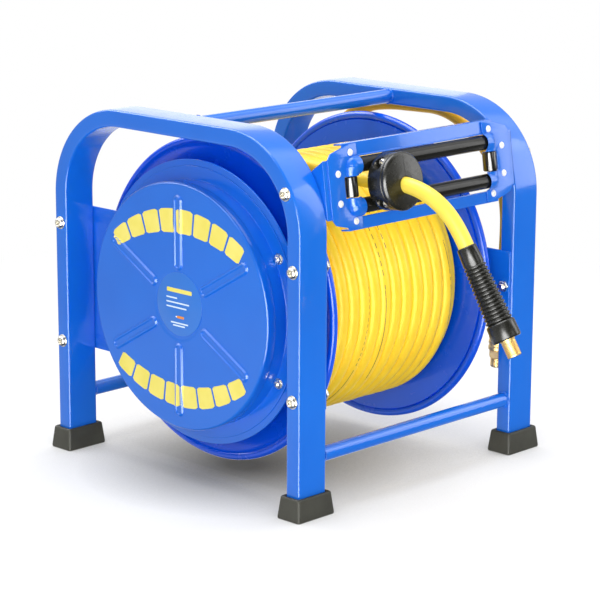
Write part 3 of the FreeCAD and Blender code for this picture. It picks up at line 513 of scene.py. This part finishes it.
reach = math.degrees(math.asin(97 / 184))
near_outline = [(222, -97), (222, 97)] + arc(184, reach, 180 - reach, 60) + [(-222, 97), (-222, -97)]
near_outline += arc(184, 180 + reach, 360 - reach, 60)
leg_holes = [circle((y, z), 4.2) for y in (-LEG_Y, LEG_Y) for z in (-80, 80)]
plate("near_plate", [near_outline, circle((0, 0), 19), *leg_holes], 3, at_axle(-175.5), BLUE, "frame",
      ["near_support_plate"])
plate("far_plate", [rounded([(-222, -47), (222, -47), (222, 47), (-222, 47)], 2), circle((0, 0), 19),
                    circle((-LEG_Y, 0), 4.2), circle((LEG_Y, 0), 4.2)], 3, at_axle(175.5), BLUE, "frame",
      ["far_support_plate"])

COVER_X = -213
LABEL_Z = AXLE + 4
case_wall = rounded([(156.5, 0), (176, 0), (176, 1.5), (158, 1.5), (158, 34), (156.5, 34)], 1.2, 4)
lathe("case_wall", case_wall, turned_from(-X, (-177, 0, AXLE)), BLUE, "frame", ["spring_case"], 192)


def cover_height(radius, angle):
    """How far the cover's face stands out: a flat disc with a rolled edge and six pressed ribs."""
    face = 0.0
    if radius > 156:
        face = -3.4 * (1 - math.sqrt(max(0.0, 1 - ((radius - 156) / 3.5) ** 2)))
    nearest = round(math.degrees(angle) / 60) * 60
    off = math.radians(math.degrees(angle) - nearest)
    along, across = radius * math.cos(off), radius * math.sin(off)
    far = math.hypot(max(55 - along, 0, along - 136), across)
    rib = 2.7 * (1 - smooth(far, 5.9, 7.9)) - 1.5 * (1 - smooth(far, 2.6, 4.6))
    dish = -0.4 * (1 - smooth(radius, 42.2, 43.8))
    return face + rib + dish


def smooth(value, low, high):
    t = min(1, max(0, (value - low) / (high - low)))
    return t * t * (3 - 2 * t)


def spring_cover():
    """The cover's outer skin, with a skirt over the case wall."""
    radii = [0.0, 20, 38, 41.4, 42.0, 43.0, 44.2, 45.6]
    radii += [46 + i * 0.8 for i in range(125)] + [147 + i * 1.5 for i in range(7)]
    radii += [156 + 3.5 * math.sin(math.radians(a)) for a in range(8, 91, 8)]
    turns = 900
    loops = []
    for radius in radii:
        loops.append([on_cover(radius, 2 * math.pi * i / turns) for i in range(turns)])
    for radius, x in ((159.5, -200.0), (159.2, -199.2), (158.4, -199.0), (158.2, -203)):
        loops.append([Vector((x, radius * math.sin(2 * math.pi * i / turns),
                              AXLE + radius * math.cos(2 * math.pi * i / turns))) for i in range(turns)])
    verts = [point for loop in loops for point in loop]
    faces = []
    for row in range(len(loops) - 1):
        here, after = row * turns, (row + 1) * turns
        for i in range(turns):
            j = (i + 1) % turns
            faces.append((here + i, here + j, after + j, after + i))
    return clean(piece("case_cover", verts, faces, BLUE, "frame", ["spring_case_cover"]), 60)


def on_cover(radius, angle, lift=0.0):
    return Vector((COVER_X - cover_height(radius, angle) - lift, radius * math.sin(angle),
                   AXLE + radius * math.cos(angle)))


spring_cover()


def band(name, centre, radius, low, high, half_middle, half_end, blocks, turned):
    """A printed band of plain blocks on the cover, along an arc between two angles from its middle."""
    verts, faces = [], []
    steps, rows = 14, 10
    pitch = (high - low) / blocks
    for block in range(blocks):
        first = len(verts)
        for i in range(steps + 1):
            angle = low + pitch * (block + 0.05 + 0.90 * i / steps)
            half = half_end + (half_middle - half_end) * math.cos(math.radians(angle / high * 90))
            corner = min(i, steps - i) / steps
            half -= 2.2 * max(0.0, 1 - corner / 0.14)
            for k in range(rows + 1):
                out = radius + half * (2 * k / rows - 1)
                y = centre[0] + out * math.sin(math.radians(angle))
                z = centre[1] + turned * out * math.cos(math.radians(angle))
                verts.append(on_cover(math.hypot(y, z), math.atan2(y, z), 0.15))
        for i in range(steps):
            for k in range(rows):
                a = first + i * (rows + 1) + k
                faces.append((a, a + 1, a + rows + 2, a + rows + 1))
    return piece(name, verts, faces, YELLOW_PRINT, "frame")


joined("cover_bands", [band("band", (-6, -101), 212, -31, 36, 15.5, 10.5, 8, 1),
                       band("band", (2, 99), 215, -34, 31, 14.5, 11, 8, -1)])


def patch(name, y, z, wide, high, material, lift=0.42):
    """A thin printed bar with round ends on the label; y runs to the viewer's left."""
    corners = [(y + u * wide / 2, z + v * high / 2) for u, v in ((-1, -1), (1, -1), (1, 1), (-1, 1))]
    verts = [(COVER_X - lift, u, LABEL_Z + v) for u, v in rounded(corners, high * 0.3, 3)]
    return piece(name, verts, [tuple(range(len(verts)))], material, "frame")


patch("label_title", -2, 17, 46, 5.4, YELLOW_PRINT)
joined("label_lines", [patch("bar", left - wide / 2, rise, wide, 1.9, PALE_PRINT)
                       for left, wide, rise in ((22, 20, 7), (22, 42, 1), (22, 37, -5), (14, 32, -25),
                                                (10, 22, -28.5), (5, 15, -17))])
patch("label_mark", -4, -17, 13, 3.2, ORANGE_PRINT, 0.5)
lathe("round_label", rounded([(0, -0.6), (41.2, -0.6), (41.2, 0.35), (0, 0.35)], 0.15, 3),
      turned_from(-X, (COVER_X, -2, LABEL_Z)), LABEL, "frame", ["cover_label"], 128)

# ---------------------------------------------------------------- drum


def flange(side, name, node, dish):
    """A pressed side disc: flat, then dished outwards by that share of 5 mm to a rolled rim."""
    face = [(15, 0), (60, 0), (62, 1), (120, 1), (122, 0), (176, 0), (183, 0.8 * dish), (190, 2.6 * dish),
            (196, 4.2 * dish), (200.6, 5 * dish)]
    rim = [(206 + 5.5 * math.cos(math.radians(a)), 6 + 5.5 * math.sin(math.radians(a)))
           for a in range(-170, 111, 14)]
    back = [(203.0, 9.6), (200.4, 2 + 5 * dish), (196, 2 + 4.2 * dish), (190, 2 + 2.6 * dish),
            (183, 2 + 0.8 * dish), (176, 2), (122, 2), (120, 3), (62, 3), (60, 2), (15, 2)]
    lathe(name, face + rim + back, turned_from(X * side, (side * 140, 0, AXLE)), DRUM_BLUE, "drum", [node],
          192, 50)


flange(-1, "near_disc", "left_flange", 1.0)
flange(1, "far_disc", "right_flange", 0.15)


def wraps(radius, first, spacing, turns, gap_after, extra, seed):
    """The centreline of one layer of hose on the drum: a helix with small wanders."""
    path = []
    for i in range(turns * WRAP_STEPS + 1):
        turn = i / WRAP_STEPS
        x = first + spacing * turn + extra * smooth(turn, gap_after - 0.4, gap_after)
        x += 0.5 * noise.noise(Vector((turn * 0.9, seed, 0)))
        far = radius + 0.5 * noise.noise(Vector((turn * 1.1, seed, 7)))
        angle = 2 * math.pi * turn
        path.append(Vector((x, -far * math.sin(angle), AXLE + far * math.cos(angle))))
    return path


def wound(name, path, half, sides):
    """A tube of that half width along a helix about the axle."""
    loops = []
    for i, here in enumerate(path):
        ahead = path[min(i + 1, len(path) - 1)] - path[max(i - 1, 0)]
        out = (here - Vector((here.x, 0, AXLE))).normalized()
        side = ahead.normalized().cross(out).normalized()
        turns = [2 * math.pi * k / sides for k in range(sides)]
        loops.append([here + (side * math.cos(t) + out * math.sin(t)) * half for t in turns])
    return loft(name, loops, YELLOW_HOSE, "drum")


outer_path = wraps(161.8, -129.6, 19.7, 13, 8.6, 3.0, 1.0)
outer = wound("hose_outer_layer", outer_path, 9.95, 28)
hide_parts("hose_winding")
lathe("hose_between_wraps", rounded([(150, -133), (165.2, -133), (165.2, 133), (150, 133)], 4, 5),
      turned_from(X, (0, 0, AXLE)), YELLOW_HOSE, "drum", segments=144)
wound("hose_inner_layer", wraps(144.6, -129.0, 19.6, 13, 20, 0.0, 4.0), 9.8, 12)


def print_line(path, start, end, lean_start, lean_end, dashes, name):
    """A thin printed line along one stretch of the outer layer; dashes are (from, to) shares of it."""
    verts, faces = [], []
    for low, high in dashes:
        a, b = start + (end - start) * low, start + (end - start) * high
        steps = max(2, int((b - a) * 240))
        for i in range(steps + 1):
            turn = a + (b - a) * i / steps
            share = (turn - start) / (end - start)
            lean = math.radians(lean_start + (lean_end - lean_start) * share)
            spot = turn * WRAP_STEPS
            index = min(int(spot), len(path) - 2)
            here = path[index].lerp(path[index + 1], spot - index)
            out = (here - Vector((here.x, 0, AXLE))).normalized()
            for edge in (-0.4, 0.4):
                angle = lean + edge / 9.85
                verts.append(here + (out * math.cos(angle) + X * math.sin(angle)) * 9.97)
            if i:
                n = len(verts)
                faces.append((n - 4, n - 3, n - 1, n - 2))
    return piece(name, verts, faces, PRINT, "drum")


def dashes(start, end, count, share):
    """Evenly spaced dashes along part of a printed line."""
    pitch = (end - start) / count
    return [(start + i * pitch, start + (i + share) * pitch) for i in range(count)]


long_marks = dashes(0, 0.42, 9, 0.6) + [(0.45, 1.0)]
joined("hose_print", [
    print_line(outer_path, 6.12, 6.36, -36, -14, long_marks, "print_a"),
    print_line(outer_path, 7.13, 7.19, -50, -42, dashes(0, 1, 5, 0.6), "print_b"),
    print_line(outer_path, 4.225, 4.40, 27, -36, dashes(0, 0.6, 14, 0.62) + [(0.62, 1.0)], "print_c"),
    print_line(outer_path, 12.19, 12.33, -12, 26, [(0.0, 0.3), (0.33, 0.36), (0.4, 0.8), (0.84, 1.0)],
               "print_d")])

# ---------------------------------------------------------------- roller guide

GUIDE = Matrix.Translation(Vector((0, GUIDE_Y, GUIDE_Z))) @ Matrix.Rotation(-GUIDE_TILT, 4, "X")


def guide_plane(depth):
    """The plane of a front sheet: u along X, v up the guide, middle at that depth."""
    return GUIDE @ plane(X, Z, -Y, (0, depth, 0))


def guide_end(side, name, node):
    """A stamped end plate with a window for the side roller."""
    outline = [(118, 52), (118, 36.4), (131, 36.4), (131, 13), (143.5, 13), (143.5, -13), (131, -13),
               (131, -36.4), (118, -36.4), (118, -52), (130, -52), (164, -43.5), (170, -36), (170, 36),
               (164, 43.5), (130, 52)]
    outline = [(side * u, v) for u, v in outline]
    plate(name, [rounded(outline, 2.0, 3)], 2, guide_plane(1), BLUE, "frame", [node], 0.45)
    for end in (-1, 1):
        pocket(side, end, f"{name}_pocket_{'low' if end < 0 else 'high'}")


def pocket(side, end, name):
    """A pressed hood over one long roller's end, running on down to the side roller's pin."""
    base, long_r, pin_r = 3.0, 11.8, 9.6
    foot = math.sqrt(long_r ** 2 - base ** 2)
    pin_foot = math.sqrt(pin_r ** 2 - (base - 0.4) ** 2)
    across, along = 36, 40
    verts, faces = [], []
    for k in range(along + 1):
        v = 13 + (12 + foot) * math.sin(math.pi / 2 * k / along)
        low = 118 if v > 15.5 else 118 + (15.5 - v)
        high = 126.5 + math.sqrt(max(0.0, foot ** 2 - max(0, v - 25) ** 2))
        high = max(high, 129.5 + pin_foot) if v <= 25 else high
        for i in range(across + 1):
            u = low + (high - low) * (1 - math.cos(math.pi * i / across)) / 2
            hood = long_r ** 2 - (v - 25) ** 2 - max(0, u - 126.5) ** 2
            rise = math.sqrt(max(0.0, hood)) - base
            pin = math.sqrt(max(0.0, pin_r ** 2 - (u - 129.5) ** 2)) - base + 0.4
            if v < 25:
                apart = smooth(abs(rise - pin), 0, 2.4)
                rise = max(rise, pin) + 0.5 * (1 - apart)
            verts.append(GUIDE @ Vector((side * u, -max(0.0, rise) + 0.1, end * v)))
    for k in range(along):
        for i in range(across):
            a = k * (across + 1) + i
            faces.append((a, a + 1, a + across + 2, a + across + 1))
    hood = clean(piece(name, verts, faces, BLUE, "frame"), 60)
    shell = hood.modifiers.new("sheet", "SOLIDIFY")
    shell.thickness = 1.0 * MM
    shell.offset = 0


guide_end(-1, "guide_left_plate", "guide_end_plate_left")
guide_end(1, "guide_right_plate", "guide_end_plate_right")

for end, inner, name, node in ((1, 35.3, "guide_upper_rail", "guide_top_rail"),
                               (-1, 37.5, "guide_lower_rail", "guide_bottom_rail")):
    shape = [(4, inner), (0.6, inner), (0.6, inner + 1.4), (2, inner + 1.8), (2, 53), (16, 53), (16, 51),
             (4, 51)]
    angle_bar = rounded([(y, end * w) for y, w in shape], 0.6, 3)
    plate(name, [angle_bar], 282, GUIDE @ plane(Y, Z, X), BLUE, "frame", [node], 0.3)

for side, name, node in ((-1, "guide_left_angle", "guide_bracket_left"),
                         (1, "guide_right_angle", "guide_bracket_right")):
    face = [(side * u, v) for u, v in ((146, -36), (176.6, -36), (176.6, 36), (146, 36))]
    front = plate(name + "_front", [rounded(face, 1.5, 3)], 2, guide_plane(3), BLUE, "frame")
    cheek = plate(name + "_cheek", [rounded([(2, 36), (34, 18), (34, -18), (2, -36)], 2, 3),
                                    circle((20.8, 2.9), 4.2)], 2,
                  GUIDE @ plane(Y, Z, X, (side * 176, 0, 0)), BLUE, "frame")
    joined(name, [front, cheek], [node])

rivet_shape = [(0, 0.3), (1.2, 0.3), (1.5, 1.9), (1.9, 2.0), (2.9, 1.8), (3.9, 1.1), (4.4, 0.3), (4.4, 0),
               (0, 0)]
rivets = []
for u in (-1, 1):
    for w in (-1, 1):
        for a, b in ((130, 41.7), (154, 18)):
            seat = GUIDE @ turned_from(-Y, (u * a, 0, w * b))
            rivets.append(lathe("rivet", rivet_shape, seat, RIVET, "frame", segments=32))
joined("rivets", rivets, ["guide_rivets"])

for end, name, node in ((1, "upper_roller_tube", "upper_roller"), (-1, "lower_roller_tube", "lower_roller")):
    shape = [(3.1, -130.4), (8.2, -130.4), (9.3, -129.6), (9.6, -128.4), (9.6, -60), (9.6, 60), (9.6, 128.4),
             (9.3, 129.6), (8.2, 130.4), (3.1, 130.4)]
    lathe(name, shape, GUIDE @ turned_from(X, (0, 3, end * 25)), BLACK_PLASTIC, node + "_body", [node], 64)
for side, name, node in ((-1, "left_roller_tube", "left"), (1, "right_roller_tube", "right")):
    shape = [(2.6, -12.7), (7.8, -12.7), (8.8, -12), (9.0, -11), (9.0, 11), (8.8, 12), (7.8, 12.7),
             (2.6, 12.7)]
    lathe(name, shape, GUIDE @ turned_from(Z, (side * 131, 3, 0)), GLOSS_BLACK, node + "_roller_body",
          [node + "_side_roller"], 64)

# ---------------------------------------------------------------- ball stop


def carved(obj, cutters):
    """The piece with the cutters' shapes taken out of it."""
    for number, cutter in enumerate(cutters):
        step = obj.modifiers.new(f"cut_{number}", "BOOLEAN")
        step.operation = "DIFFERENCE"
        step.solver = "EXACT"
        step.object = cutter
    bpy.context.view_layer.update()
    whole = bpy.data.meshes.new_from_object(obj.evaluated_get(bpy.context.evaluated_depsgraph_get()))
    obj.modifiers.clear()
    obj.data = whole
    for cutter in cutters:
        bpy.data.objects.remove(cutter)
    whole.shade_smooth()
    whole.set_sharp_from_angle(angle=math.radians(32))
    return obj


BALL_X, BALL_FACE = -79.5, 7.2
ball_axis = Vector((0, -math.cos(GUIDE_TILT), math.sin(GUIDE_TILT)))
ball_up = Vector((0, math.sin(GUIDE_TILT), math.cos(GUIDE_TILT)))
ball_base = Vector((BALL_X, GUIDE_Y, GUIDE_Z)) + ball_axis * BALL_FACE
ball_shape = rounded([(0, 0), (30.5, 0), (35.4, 2.6), (35.4, 23.2), (34.5, 23.6), (34.5, 24.6), (36, 25.2),
                      (36, 28.6), (33.2, 31.6), (13, 33), (0, 33)], 1.1, 4)
ball = lathe("ball_stop", ball_shape, turned_from(ball_axis, ball_base), BLACK_RUBBER, "frame",
             ["ball_stop_left_half", "ball_stop_right_half"], 96)
along = (Vector(TAIL_ROUTE[2]) - Vector(TAIL_ROUTE[0])).normalized()
cutters = [lathe("bore", [(0, 0), (10.3, 0), (10.3, 70), (0, 70)], turned_from(along, TAIL_ROUTE[0]),
                 BLACK_RUBBER, "frame", segments=48)]
screw_shape = [(0, 1.4), (1.5, 1.4, 6), (1.7, 3.4, 6), (3.6, 3.4), (4.6, 2.2), (4.6, -0.5), (0, -0.5)]
heads = []
for rise in (-25, 25):
    spot = ball_base + ball_axis * 14 + ball_up * rise
    for side in (-1, 1):
        seat = turned_from(X * side, (BALL_X + side * 16, spot.y, spot.z))
        cutters.append(lathe("recess", [(0, 0), (6.6, 0), (7.4, 20), (0, 20)], seat, BLACK_RUBBER, "frame",
                             segments=40))
        heads.append(lathe("screw", screw_shape, seat, ZINC, "frame", segments=36))
for reach in (-60, 60):
    cutters.append(piece("seam", [ball_base + X * x + ball_axis * y + ball_up * z
                                  for x in (-0.3, 0.3) for y in (31.6, 34) for z in (0, reach)],
                         [(0, 1, 3, 2), (4, 6, 7, 5), (0, 4, 5, 1), (2, 3, 7, 6), (0, 2, 6, 4), (1, 5, 7, 3)],
                         BLACK_RUBBER, "frame"))
cutters = [clean(cutter) for cutter in cutters]
carved(ball, cutters)
ball_screws = joined("ball_screws", heads, ["ball_stop_screws"])

# ---------------------------------------------------------------- bolts

HEAD = [(0, 1.7), (2.4, 1.7, 6), (2.55, 4.3, 6), (2.9, 4.7, 6), (4.6, 4.5), (6.1, 3.5), (6.8, 2.0),
        (7.0, 0.8), (6.8, 0.05), (0, 0.05)]
WASHER = [(4.2, 0), (8.2, 0), (8.4, 0.3), (8.4, 0.9), (8.2, 1.2), (4.2, 1.2)]
NUT = [(4, 0), (6.2, 0, 6), (6.5, 0.4, 6), (6.5, 5.4, 6), (6.0, 6.0, 6), (4, 6.2), (4, 8.4), (3.4, 9),
       (0, 9), (0, 0)]
SMALL_NUT = [(0, 0), (4.3, 0, 6), (4.6, 0.3, 6), (4.6, 3.2, 6), (4.2, 3.7, 6), (3, 3.9), (3, 5.2),
             (2.5, 5.6), (0, 5.6)]
SMALL_WASHER = [(3, 0), (7, 0), (7, 0.8), (3, 0.8)]
LEG_FACE = LEG_X + 24


def fixing(name, shape, outward, seat):
    """One turned zinc part of a bolt, standing from its seat towards +X or -X."""
    return lathe(name, shape, turned_from(X * outward, seat), ZINC, "frame", segments=36)


def bolt(side, y, z, nut_x):
    """The parts of one bolt that show: washer and head outboard, nut inboard."""
    return [fixing("washer", WASHER, side, (side * LEG_FACE, y, z)),
            fixing("head", HEAD, side, (side * (LEG_FACE + 1.2), y, z)),
            fixing("nut", NUT, -side, (side * nut_x, y, z))]


parts = []
for side, rises in ((-1, (-80, 80)), (1, (0,))):
    for y in (-LEG_Y, LEG_Y):
        for rise in rises:
            parts += bolt(side, y, AXLE + rise, 174)
for side in (-1, 1):
    parts += bolt(side, -201, GUIDE_Z, 175)
joined("leg_bolt_set", parts, ["leg_bolts"])

parts = []
for y in (-144, 144):
    for z in (AXLE - 79, AXLE + 79):
        parts += [fixing("case_nut", SMALL_NUT, -1, (-178.5, y, z)),
                  fixing("case_washer", SMALL_WASHER, -1, (-178.5, y, z)),
                  fixing("case_tail", SMALL_NUT, 1, (-174, y, z))]
joined("case_nut_set", parts, ["case_screws"])

# ---------------------------------------------------------------- hose ends

SLEEVE_BASE = Vector(TAIL_ROUTE[-1])
sleeve_axis = (Vector(TAIL_ROUTE[-1]) - Vector(TAIL_ROUTE[-3])).normalized()
sleeve_place = turned_from(sleeve_axis, SLEEVE_BASE - sleeve_axis * 87.2)


def sleeve_shape():
    """The bend restrictor's profile: a smooth mouth, fifteen rounded ribs and a plain collar."""
    shape = [(10.4, 0), (11.4, 0), (12.1, 0.8), (12.3, 3), (13.1, 22)]
    ribs, first, last = 15, 24.0, 98.0
    pitch = (last - first) / ribs
    for i in range(ribs):
        start = first + i * pitch
        body = 12.9 + 3.0 * (i / ribs)
        for share, rise in ((0.0, -0.9), (0.14, -0.9), (0.26, 0.6), (0.4, 1.05), (0.6, 1.1), (0.76, 0.7),
                            (0.9, -0.9)):
            shape.append((body + rise, start + pitch * share))
    shape += [(15.6, 98.2), (17.3, 99.2), (18.0, 100.6), (18.1, 118.6), (17.6, 120.4), (16.4, 121),
              (10.2, 121), (10.2, 100), (10.4, 100)]
    return shape


sleeve = lathe("ribbed_sleeve", sleeve_shape(), sleeve_place, BLACK_RUBBER, "frame", ["bend_restrictor"],
               72, 50)
brass_end = [(6.6, 88), (9.4, 88), (9.4, 121.6), (9.1, 122.2), (8.5, 122.6), (8.5, 124.2), (8.9, 124.6)]
for i in range(8):
    low = 125 + i * 1.9
    brass_end += [(8.95, low), (8.95, low + 0.7), (8.35, low + 1.3), (8.35, low + 1.6)]
brass_end += [(8.8, 140.6), (8.8, 141.6), (8.1, 142.8), (6.9, 143), (6.6, 142.4)]
delivery_end = lathe("delivery_end", brass_end, sleeve_place, BRASS, "frame", ["hose_end_fitting"], 72, 35)

lead_down = (Vector(LEAD_ROUTE[-1]) - Vector(LEAD_ROUTE[-2])).normalized()
lead_place = turned_from(lead_down, LEAD_ROUTE[-1])
crimp = [(6.6, 0), (11.8, 0), (12.4, 0.7)]
for i in range(3):
    low = 3 + i * 7.6
    crimp += [(12.4, low), (11.6, low + 1), (11.6, low + 3.6), (12.4, low + 4.6)]
crimp += [(12.4, 27.2), (11.6, 28), (6.6, 28)]
lead_ferrule = lathe("lead_ferrule", crimp, lead_place, BRASS, "frame", ["lead_hose_ferrule"], 72, 35)
lead_tip = [(6.6, 28), (9.4, 28), (9.4, 29), (10.2, 29, 6), (10.2, 38, 6), (9.4, 38.6)]
for i in range(5):
    low = 39.4 + i * 2.2
    lead_tip += [(8.9, low), (8.9, low + 0.8), (8.3, low + 1.5), (8.3, low + 1.8)]
lead_tip += [(8.8, 50.8), (7.9, 52), (6.6, 52)]
lead_end = lathe("lead_end", lead_tip, lead_place, BRASS, "frame", ["lead_hose_fitting"], 72, 35)

# ---------------------------------------------------------------- stage, light and camera


def soft_light(name, place, target, size, power):
    data = bpy.data.lights.new(name, "AREA")
    data.shape = "RECTANGLE"
    data.size, data.size_y = size
    data.energy = power
    obj = bpy.data.objects.new(name, data)
    bpy.context.scene.collection.objects.link(obj)
    obj.location = place
    obj.rotation_euler = (Vector(target) - Vector(place)).to_track_quat("-Z", "Y").to_euler()


def studio_light(tree):
    """A plain white surround: white to the eye, softer as light, and graded where gloss mirrors it."""
    tree.nodes.clear()
    output = tree.nodes.new("ShaderNodeOutputWorld")
    path = tree.nodes.new("ShaderNodeLightPath")
    where = tree.nodes.new("ShaderNodeTexCoord")
    split = tree.nodes.new("ShaderNodeSeparateXYZ")
    tree.links.new(where.outputs["Generated"], split.inputs[0])

    def level(strength):
        node = tree.nodes.new("ShaderNodeBackground")
        node.inputs["Strength"].default_value = strength
        return node

    def graded(source, low, high, dark, light):
        node = tree.nodes.new("ShaderNodeMapRange")
        node.interpolation_type = "SMOOTHSTEP"
        for key, value in (("From Min", low), ("From Max", high), ("To Min", dark), ("To Max", light)):
            node.inputs[key].default_value = value
        tree.links.new(source, node.inputs["Value"])
        return node.outputs[0]

    def blend(fac, one, two):
        node = tree.nodes.new("ShaderNodeMixShader")
        tree.links.new(fac, node.inputs[0])
        tree.links.new(one, node.inputs[1])
        tree.links.new(two, node.inputs[2])
        return node.outputs[0]

    def math_node(kind, one, two):
        node = tree.nodes.new("ShaderNodeMath")
        node.operation = kind
        for value, socket in ((one, node.inputs[0]), (two, node.inputs[1])):
            if isinstance(value, (int, float)):
                socket.default_value = value
            else:
                tree.links.new(value, socket)
        return node.outputs[0]

    def spot(direction, inner, outer, strength):
        toward = tree.nodes.new("ShaderNodeVectorMath")
        toward.operation = "DOT_PRODUCT"
        tree.links.new(where.outputs["Generated"], toward.inputs[0])
        toward.inputs[1].default_value = Vector(direction).normalized()
        return graded(toward.outputs["Value"], math.cos(math.radians(outer)), math.cos(math.radians(inner)),
                      0, strength)

    _, y, z = split.outputs
    plain = math_node("MULTIPLY", graded(y, -0.45, 0.1, 0.15, 1.0), graded(z, -0.245, -0.228, 1.35, 0.85))
    plain = math_node("MULTIPLY", plain, graded(z, -0.8, -0.5, 0.1, 1.0))
    sky = math_node("MULTIPLY", graded(z, 0.05, 0.12, 0, 0.1), graded(z, 0.30, 0.5, 1.0, 0.0))
    sky = math_node("MULTIPLY", sky, graded(y, 0.0, 0.5, 0.1, 1.0))
    above = math_node("ADD", spot((-0.21, 0.68, 0.72), 18, 27, 9), spot((0.62, -0.25, 0.74), 14, 26, 2.2))
    above = math_node("ADD", above, spot((-0.52, 0.07, 0.85), 14, 25, 5))
    front = math_node("ADD", spot((-0.70, -0.68, -0.21), 22, 31, 17), spot((0.25, -0.93, 0.28), 9, 13, 3))
    total = math_node("ADD", math_node("ADD", plain, sky), math_node("ADD", above, front))
    mirrored = level(1.0)
    tree.links.new(total, mirrored.inputs["Strength"])
    lit = blend(path.outputs["Is Glossy Ray"], level(0.85).outputs[0], mirrored.outputs[0])
    seen = blend(path.outputs["Is Camera Ray"], lit, level(1.0).outputs[0])
    tree.links.new(seen, output.inputs["Surface"])


def fade_to_white(shader, painted_shade):
    """Paper that glows in the colour of its painted shade, brighter where it is open, and away from the
    object is as white as the surround.
    """
    tree = shader.tree
    # This glow takes the painted shade's colour, so near the object the painted shade glows too.
    painted_shade_glow = tree.nodes.new("ShaderNodeEmission")
    tree.links.new(painted_shade, painted_shade_glow.inputs["Color"])
    near = tree.nodes.new("ShaderNodeMixShader")
    near.inputs[0].default_value = 0.6
    tree.links.new(shader.surface.outputs[0], near.inputs[1])
    tree.links.new(painted_shade_glow.outputs[0], near.inputs[2])
    distance = tree.nodes.new("ShaderNodeVectorMath")
    distance.operation = "LENGTH"
    tree.links.new(shader.place, distance.inputs[0])
    share = tree.nodes.new("ShaderNodeMapRange")
    share.interpolation_type = "SMOOTHSTEP"
    share.inputs["From Min"].default_value = 0.7
    share.inputs["From Max"].default_value = 1.3
    tree.links.new(distance.outputs["Value"], share.inputs["Value"])
    glow = tree.nodes.new("ShaderNodeEmission")
    blend = tree.nodes.new("ShaderNodeMixShader")
    tree.links.new(share.outputs[0], blend.inputs[0])
    tree.links.new(near.outputs[0], blend.inputs[1])
    tree.links.new(glow.outputs[0], blend.inputs[2])
    tree.links.new(blend.outputs[0], shader.output.inputs["Surface"])


def greys(*stops):
    """Stops of plain grey for a ramp."""
    return [(place, (grey, grey, grey)) for place, grey in stops]


floor_mesh = bpy.data.meshes.new("floor")
floor_mesh.from_pydata([(-6, -6, 0), (6, -6, 0), (6, 6, 0), (-6, 6, 0)], [], [(0, 1, 2, 3)])
floor = bpy.data.objects.new("floor", floor_mesh)
bpy.context.scene.collection.objects.link(floor)
paper = Shader("floor_paper").set(spec=0.25)
grain = paper.ramp(paper.noise(3, 2), greys((0.3, 0.91), (0.7, 0.93)))
# Painted shade: ambient occlusion darkens the paper's own colour under and near the object.
painted_contact_shade = paper.tree.nodes.new("ShaderNodeAmbientOcclusion")
painted_contact_shade.samples = 8
painted_contact_shade.inputs["Distance"].default_value = 0.3
painted_shade = paper.ramp(painted_contact_shade.outputs["AO"], greys((0.04, 0.3), (0.45, 0.74), (0.8, 1)))
# Painted shadow: a dark pool painted under the drum's near side, fading out by 0.22 m.
painted_shadow_distance = paper.tree.nodes.new("ShaderNodeVectorMath")
painted_shadow_distance.operation = "DISTANCE"
painted_shadow_distance.inputs[1].default_value = (-0.11, -0.01, 0)
paper.join(paper.place, painted_shadow_distance.inputs[0])
painted_shadow_pool = paper.ramp(painted_shadow_distance.outputs["Value"], greys((0.02, 0.2), (0.11, 0.6), (0.22, 1)))
painted_shade = paper.multiply(painted_shade, painted_shadow_pool)
paper.paint(paper.multiply(grain, painted_shade))
paper.roughen(paper.noise(40, 2), 0.5, 0.6)
fade_to_white(paper, painted_shade)
floor_mesh.materials.append(paper.material)
floor.visible_glossy = False

world = bpy.data.worlds.new("studio")
bpy.context.scene.world = world
world.use_nodes = True
studio_light(world.node_tree)
soft_light("key", (-1.6, -1.7, 1.9), (0, 0, 0.2), (1.6, 1.6), 5)
soft_light("front", (-1.65, -1.6, 0.6), (0, 0, 0.23), (0.9, 0.9), 20)
soft_light("top", (0.0, 0.1, 2.2), (0, 0, 0.2), (1.1, 1.1), 30)
soft_light("side", (1.9, -1.5, 1.0), (0, 0, 0.25), (1.0, 1.6), 20)
soft_light("back", (1.6, 1.9, 0.9), (0, 0, 0.3), (1.4, 1.4), 5)

bpy.context.scene.view_settings.view_transform = "Standard"
bpy.context.scene.view_settings.look = "None"

AZIMUTH, ELEVATION, ROLL = math.radians(-45.84), math.radians(13.24), math.radians(0.26)
back = Vector((math.sin(AZIMUTH) * math.cos(ELEVATION), -math.cos(AZIMUTH) * math.cos(ELEVATION),
               math.sin(ELEVATION)))
camera_data = bpy.data.cameras.new("camera")
camera_data.sensor_width = 36
camera_data.lens = 136.6
camera_data.clip_end = 50
camera = bpy.data.objects.new("camera", camera_data)
bpy.context.scene.collection.objects.link(camera)
camera.location = (Vector((47.1, 38.5, 188.7)) + back * 3095.6) * MM
camera.rotation_euler = ((-back).to_track_quat("-Z", "Y").to_matrix().to_4x4()
                         @ Matrix.Rotation(ROLL, 4, "Z")).to_euler()
bpy.context.scene.camera = camera
